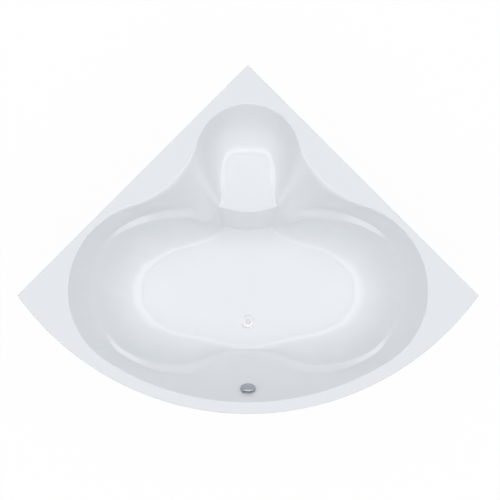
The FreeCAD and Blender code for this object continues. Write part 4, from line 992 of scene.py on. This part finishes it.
def waste():
    """Flange with its crossbar, the lifting plug, the housing below and the bottle trap."""
    flange = turned("waste_flange_turned", [
        (21, -32, 0.5), (24, -32, 0.8), (24, 0, 0), (31.4, 0, 0.4), (32, 1, 0.8), (30.6, 2.6, 1.6),
        (26, 3, 1.5), (22.6, 2.2, 1.2), (21, 0, 1.5)], ON_WASTE)
    dress(flange, "tub", "chrome", "waste_flange")
    guide("waste", ON_WASTE, 4.08, -32, 0.6, "chrome")
    cover = turned("plug_cover_domed", [
        (0, 3.3, 0), (20, 3.3, 0), (22.4, 3.5, 0.6), (23, 4.3, 0.7), (21.8, 5.6, 1.2), (15, 6.8, 4),
        (7, 7.25, 4), (0, 7.3, 3)], ON_WASTE)
    dress(cover, "plug", "chrome", "plug_cover")
    port = (ON_WASTE @ Matrix.Translation((0, 0, PORT_LEVEL))
            @ Matrix.Rotation(math.pi / 2, 4, "X"))
    drain_piece("waste_housing_moulded", [
        (17.5, -151, 0.5), (20, -151, 0.6), (20, -74, 2), (23, -71, 3), (36, -71, 4), (38, -66, 2),
        (38, -22, 0), (38, -18, 0), (38, -9.6, 1.2), (36.5, -9, 1.0), (24.2, -9, 0.5),
        (24.2, -12.5, 0), (34.5, -12.5, 2), (34.5, -67.5, 2), (17.5, -67.5, 1)],
        ON_WASTE, "waste_housing", columns=120, hole=(14.9, 30, 45, port))
    drain_piece("waste_port", [
        (12.5, 33, 0), (15, 33, 0), (15, 46, 0.3), (15, 50, 0.4), (15, 62, 0.3), (14.6, 64, 0.4),
        (12.5, 64, 0.5)], port)
    trap = upright_at(*WASTE, float(span("trap_cup")[0][2]))
    outlet = (trap @ Matrix.Translation((0, 0, OUTLET_LEVEL))
              @ Matrix.Rotation(-OUTLET_TURN, 4, "Z") @ Matrix.Rotation(-math.pi / 2, 4, "X"))
    drain_piece("trap_bottle", [
        (31, 3, 0), (34, 3, 0), (34, 18, 0.6), (34, 70, 0), (34, 82, 3), (30, 87, 3),
        (20.2, 87, 0.5), (20.2, 84, 0.5), (28, 84, 2), (31, 80, 2)],
        trap, "trap_body", columns=120, hole=(19.3, 25, 40, outlet))
    drain_piece("trap_outlet_nipple", [
        (17.5, 30, 0), (19.4, 30, 0), (19.4, 54, 0.4), (17.5, 54, 0.4)], outlet)
    grip, fine_grip = ribbed(36, 1.0), ribbed(24, 0.9)
    drain_piece("trap_cup_ribbed", [
        (0, 0, 0), (33, 0, 2), (37.2, 3, 2, grip), (37.2, 12.4, 0.5, grip), (36.2, 14, 0.4),
        (34.2, 14, 0.4), (34.2, 3, 0), (0, 3, 0)], trap, "trap_cup", columns=216)
    drain_piece("trap_ring_nut", [
        (20.2, 87, 0.3), (27, 87, 0.5, fine_grip), (27, 93, 0.5, fine_grip), (25.5, 94, 0.4),
        (20.2, 94, 0.3)], trap, "trap_union", columns=192)
    drain_piece("outlet_ring_nut", [
        (20.2, 35, 0.3), (25, 35, 0.5), (26, 37, 0.6, fine_grip), (26, 51, 0.6, fine_grip),
        (24, 53, 0.8), (20.2, 53, 0.3)], outlet, "outlet_union", columns=192)
    drain_piece("outlet_pipe", [
        (17.5, 54, 0.3), (20, 54, 0.3), (20, 222, 0), (19.2, 224, 0.6), (17.5, 224, 0.4)],
        outlet, "outlet_tube")


# ---- overflow
KNOB_RADIUS, KNOB_HEIGHT, KNOB_WALL, KNOB_GAP = 35.0, 19.0, 2.5, 2.0
# the notch in the knob's side: its height, half its width, and its cutter's reach from the axis
NOTCH_HEIGHT, NOTCH_HALF_WIDTH, NOTCH_NEAR, NOTCH_FAR = 9.0, 20.0, -20.0, -50.0


def overflow_knob():
    """Chrome cap with a rounded face, open to the water along its upper edge."""
    low, top = KNOB_GAP, KNOB_GAP + KNOB_HEIGHT
    inner = KNOB_RADIUS - KNOB_WALL
    knob = turned("overflow_knob_turned", [
        (0, top - KNOB_WALL, 0), (inner - 0.5, top - KNOB_WALL, 1.5), (inner, low, 0.5),
        (KNOB_RADIUS - 0.3, low, 0.8), (KNOB_RADIUS, low + 4, 1), (KNOB_RADIUS, top - 4.5, 2),
        (KNOB_RADIUS - 5, top - 0.6, 4.5), (16, top, 6), (0, top, 0)], ON_WALL, 180, 7)
    corners = ((NOTCH_HALF_WIDTH, NOTCH_NEAR), (-NOTCH_HALF_WIDTH, NOTCH_NEAR),
               (-NOTCH_HALF_WIDTH, NOTCH_FAR), (NOTCH_HALF_WIDTH, NOTCH_FAR))
    block = [[ON_WALL @ Vector((x, y, z)) for x, y in corners]
             for z in (low - 6, low + NOTCH_HEIGHT)]
    drilled(knob, swept("notch", block))
    knob.data.materials.append(SATIN_CHROME)
    dress(knob, "knob", "chrome", "overflow_knob")


def overflow_parts():
    collar = turned("overflow_collar_moulded", [
        (21, -27.7, 0.4), (24, -27.7, 0.6), (24, 0.5, 0), (30.4, 0.5, 0.3), (31, 1.4, 0.7),
        (29.6, 3.2, 1.2), (22, 3.45, 1.0), (21, 2.4, 0.8)], ON_WALL)
    dress(collar, "tub", "collar_plastic", "overflow_collar")
    guide("overflow", ON_WALL, 5.08, -27.7, 0.5, "collar_plastic")


# ---- overflow hose
# axis in the plane x = 0: down from the top at HOSE_Y, round a bend, level at HOSE_LOW
HOSE_LOW, HOSE_HIGH = 148.0, float(span("overflow_hose")[1][2])
HOSE_Y, HOSE_END_Y = -720.88, float(span("overflow_hose")[1][1])
HOSE_BEND, HOSE_OUTSIDE, HOSE_INSIDE = 110.0, 17.6, 15.1
# spacing and depth of its waves, and the smooth cuff at each end
HOSE_PITCH, HOSE_DEPTH, HOSE_CUFF = 5.0, 1.7, 32.0
HOSE_STEPS_PER_WAVE, HOSE_COLUMNS = 8, 40


def overflow_hose():
    """Corrugated hose with a smooth cuff at each end: down, a wide bend, and level to the waste."""
    drop = HOSE_HIGH - HOSE_LOW - HOSE_BEND
    turn_length = HOSE_BEND * math.pi / 2
    run = HOSE_END_Y - HOSE_Y - HOSE_BEND
    length = drop + turn_length + run
    steps = int(length / HOSE_PITCH * HOSE_STEPS_PER_WAVE)
    angles = round_angles(HOSE_COLUMNS)
    outside, inside = [], []
    for step in range(steps + 1):
        s = length * step / steps
        if s <= drop:
            centre, heading = (HOSE_Y, HOSE_HIGH - s), -math.pi / 2
        elif s <= drop + turn_length:
            heading = -math.pi / 2 + (s - drop) / HOSE_BEND
            centre = (HOSE_Y + HOSE_BEND + HOSE_BEND * math.sin(heading),
                      HOSE_LOW + HOSE_BEND - HOSE_BEND * math.cos(heading))
        else:
            centre, heading = (HOSE_Y + HOSE_BEND + s - drop - turn_length, HOSE_LOW), 0.0
        from_end = min(s, length - s)
        swell = min(max((from_end - HOSE_CUFF) / HOSE_PITCH, 0.0), 1.0)
        wave = HOSE_DEPTH * swell * (0.5 - 0.5 * math.cos(2 * math.pi * s / HOSE_PITCH))
        for loops, radius in ((outside, HOSE_OUTSIDE - wave), (inside, HOSE_INSIDE - 0.5 * wave)):
            x, aside = radius * np.cos(angles), radius * np.sin(angles)
            loops.append(np.stack([x, centre[0] - aside * math.sin(heading),
                                   centre[1] + aside * math.cos(heading)], axis=-1))
    hose = hollow_swept("overflow_hose_corrugated", outside, inside)
    dress(hose, "tub", "hose_plastic", "overflow_hose")


def carried_over():
    """Remaining CAD pieces keep their shape and get the finish of their slot."""
    for part in frame["record"]["subparts"]:
        materials = frame["nodes"][part["node"]].data.materials
        materials.clear()
        materials.append(FINISHES[part["material_slot"]])


carried_over()
bath_shell()
cradle()
screw_feet()
front_panel()
panel_screws()
waste()
overflow_knob()
overflow_parts()
overflow_hose()

# ---- floor, light and camera
# the photo: its size, millimetres to a pixel, and where the bath lies in it
PHOTO_PIXELS, PIXEL = 500.0, 4.6
CENTRE_LINE_PIXEL, BACK_CORNER_PIXEL = 248.0, 65.0
# in metres from here: camera above the rim, ring of softboxes around the bath and what it aims at
CAMERA_HEIGHT = 30.0
RING_LAMPS, RING_RADIUS, RING_HEIGHT, RING_AIM = 12, 3.8, 5.6, Vector((0, 0, 0.4))
RING_WIDTH, RING_POWER = 2.0, 25.5
# strength of the sky, and how much of the floor's look is glow
SKY, FLOOR_GLOW = 0.42, 0.97
# half the studio floor's width and its level, in mm
STAGE_HALF, STAGE_LEVEL = 12000.0, -1.0


def studio_floor():
    """Matt white floor that the camera sees as almost plain white, with a hint of shadow."""
    made = bpy.data.materials.new("matt white floor")
    tree = blank_tree(made)
    seen = node(tree, "ShaderNodeLightPath")
    matt = node(tree, "ShaderNodeBsdfDiffuse", Color=srgb("F4F4F4"))
    glow = node(tree, "ShaderNodeEmission", Strength=1.0)
    bright = node(tree, "ShaderNodeMixShader", {1: matt.outputs[0], 2: glow.outputs[0]})
    bright.inputs[0].default_value = FLOOR_GLOW
    mixed = node(tree, "ShaderNodeMixShader", {0: seen.outputs["Is Camera Ray"],
                                               1: matt.outputs[0], 2: bright.outputs[0]})
    node(tree, "ShaderNodeOutputMaterial", {"Surface": mixed.outputs[0]})
    corners = [(x * STAGE_HALF, y * STAGE_HALF, STAGE_LEVEL)
               for x, y in ((-1, -1), (1, -1), (1, 1), (-1, 1))]
    plane = mesh_object("studio_floor", corners, [(0, 1, 2, 3)])
    plane.data.materials.append(made)


def light():
    """Even sky, brighter where it is seen or mirrored, and a ring of softboxes."""
    world = bpy.data.worlds.new("studio")
    bpy.context.scene.world = world
    tree = blank_tree(world)
    seen = node(tree, "ShaderNodeLightPath")
    direct = node(tree, "ShaderNodeMath", {0: seen.outputs["Is Camera Ray"],
                                           1: seen.outputs["Is Glossy Ray"]}, operation="MAXIMUM")
    plain = node(tree, "ShaderNodeBackground", Strength=SKY, Color=srgb("EFF4FB"))
    white = node(tree, "ShaderNodeBackground", Strength=1.0)
    mixed = node(tree, "ShaderNodeMixShader", {0: direct.outputs[0], 1: plain.outputs[0],
                                               2: white.outputs[0]})
    node(tree, "ShaderNodeOutputWorld", {"Surface": mixed.outputs[0]})
    for count in range(RING_LAMPS):
        turn = 2 * math.pi * (count + 0.5) / RING_LAMPS
        lamp = bpy.data.lights.new("softbox_%d" % count, "AREA")
        lamp.shape, lamp.size, lamp.energy = "SQUARE", RING_WIDTH, RING_POWER
        obj = linked(lamp.name, lamp)
        obj.location = (RING_RADIUS * math.sin(turn), RING_RADIUS * math.cos(turn), RING_HEIGHT)
        obj.rotation_euler = (RING_AIM - obj.location).to_track_quat("-Z", "Y").to_euler()


def camera():
    """Straight down, far off, framed as in the photo."""
    data = bpy.data.cameras.new("camera")
    data.sensor_width = 36.0
    data.lens = data.sensor_width * CAMERA_HEIGHT / (PHOTO_PIXELS * PIXEL * MM)
    data.clip_end = 100.0
    obj = linked("camera", data)
    across = (PHOTO_PIXELS / 2 - CENTRE_LINE_PIXEL) * PIXEL
    along = REACH / 2 - (PHOTO_PIXELS / 2 - BACK_CORNER_PIXEL) * PIXEL
    obj.location = (across * MM, along * MM, RIM * MM + CAMERA_HEIGHT)
    bpy.context.scene.camera = obj


studio_floor()
light()
camera()
bpy.context.scene.view_settings.view_transform = "Standard"
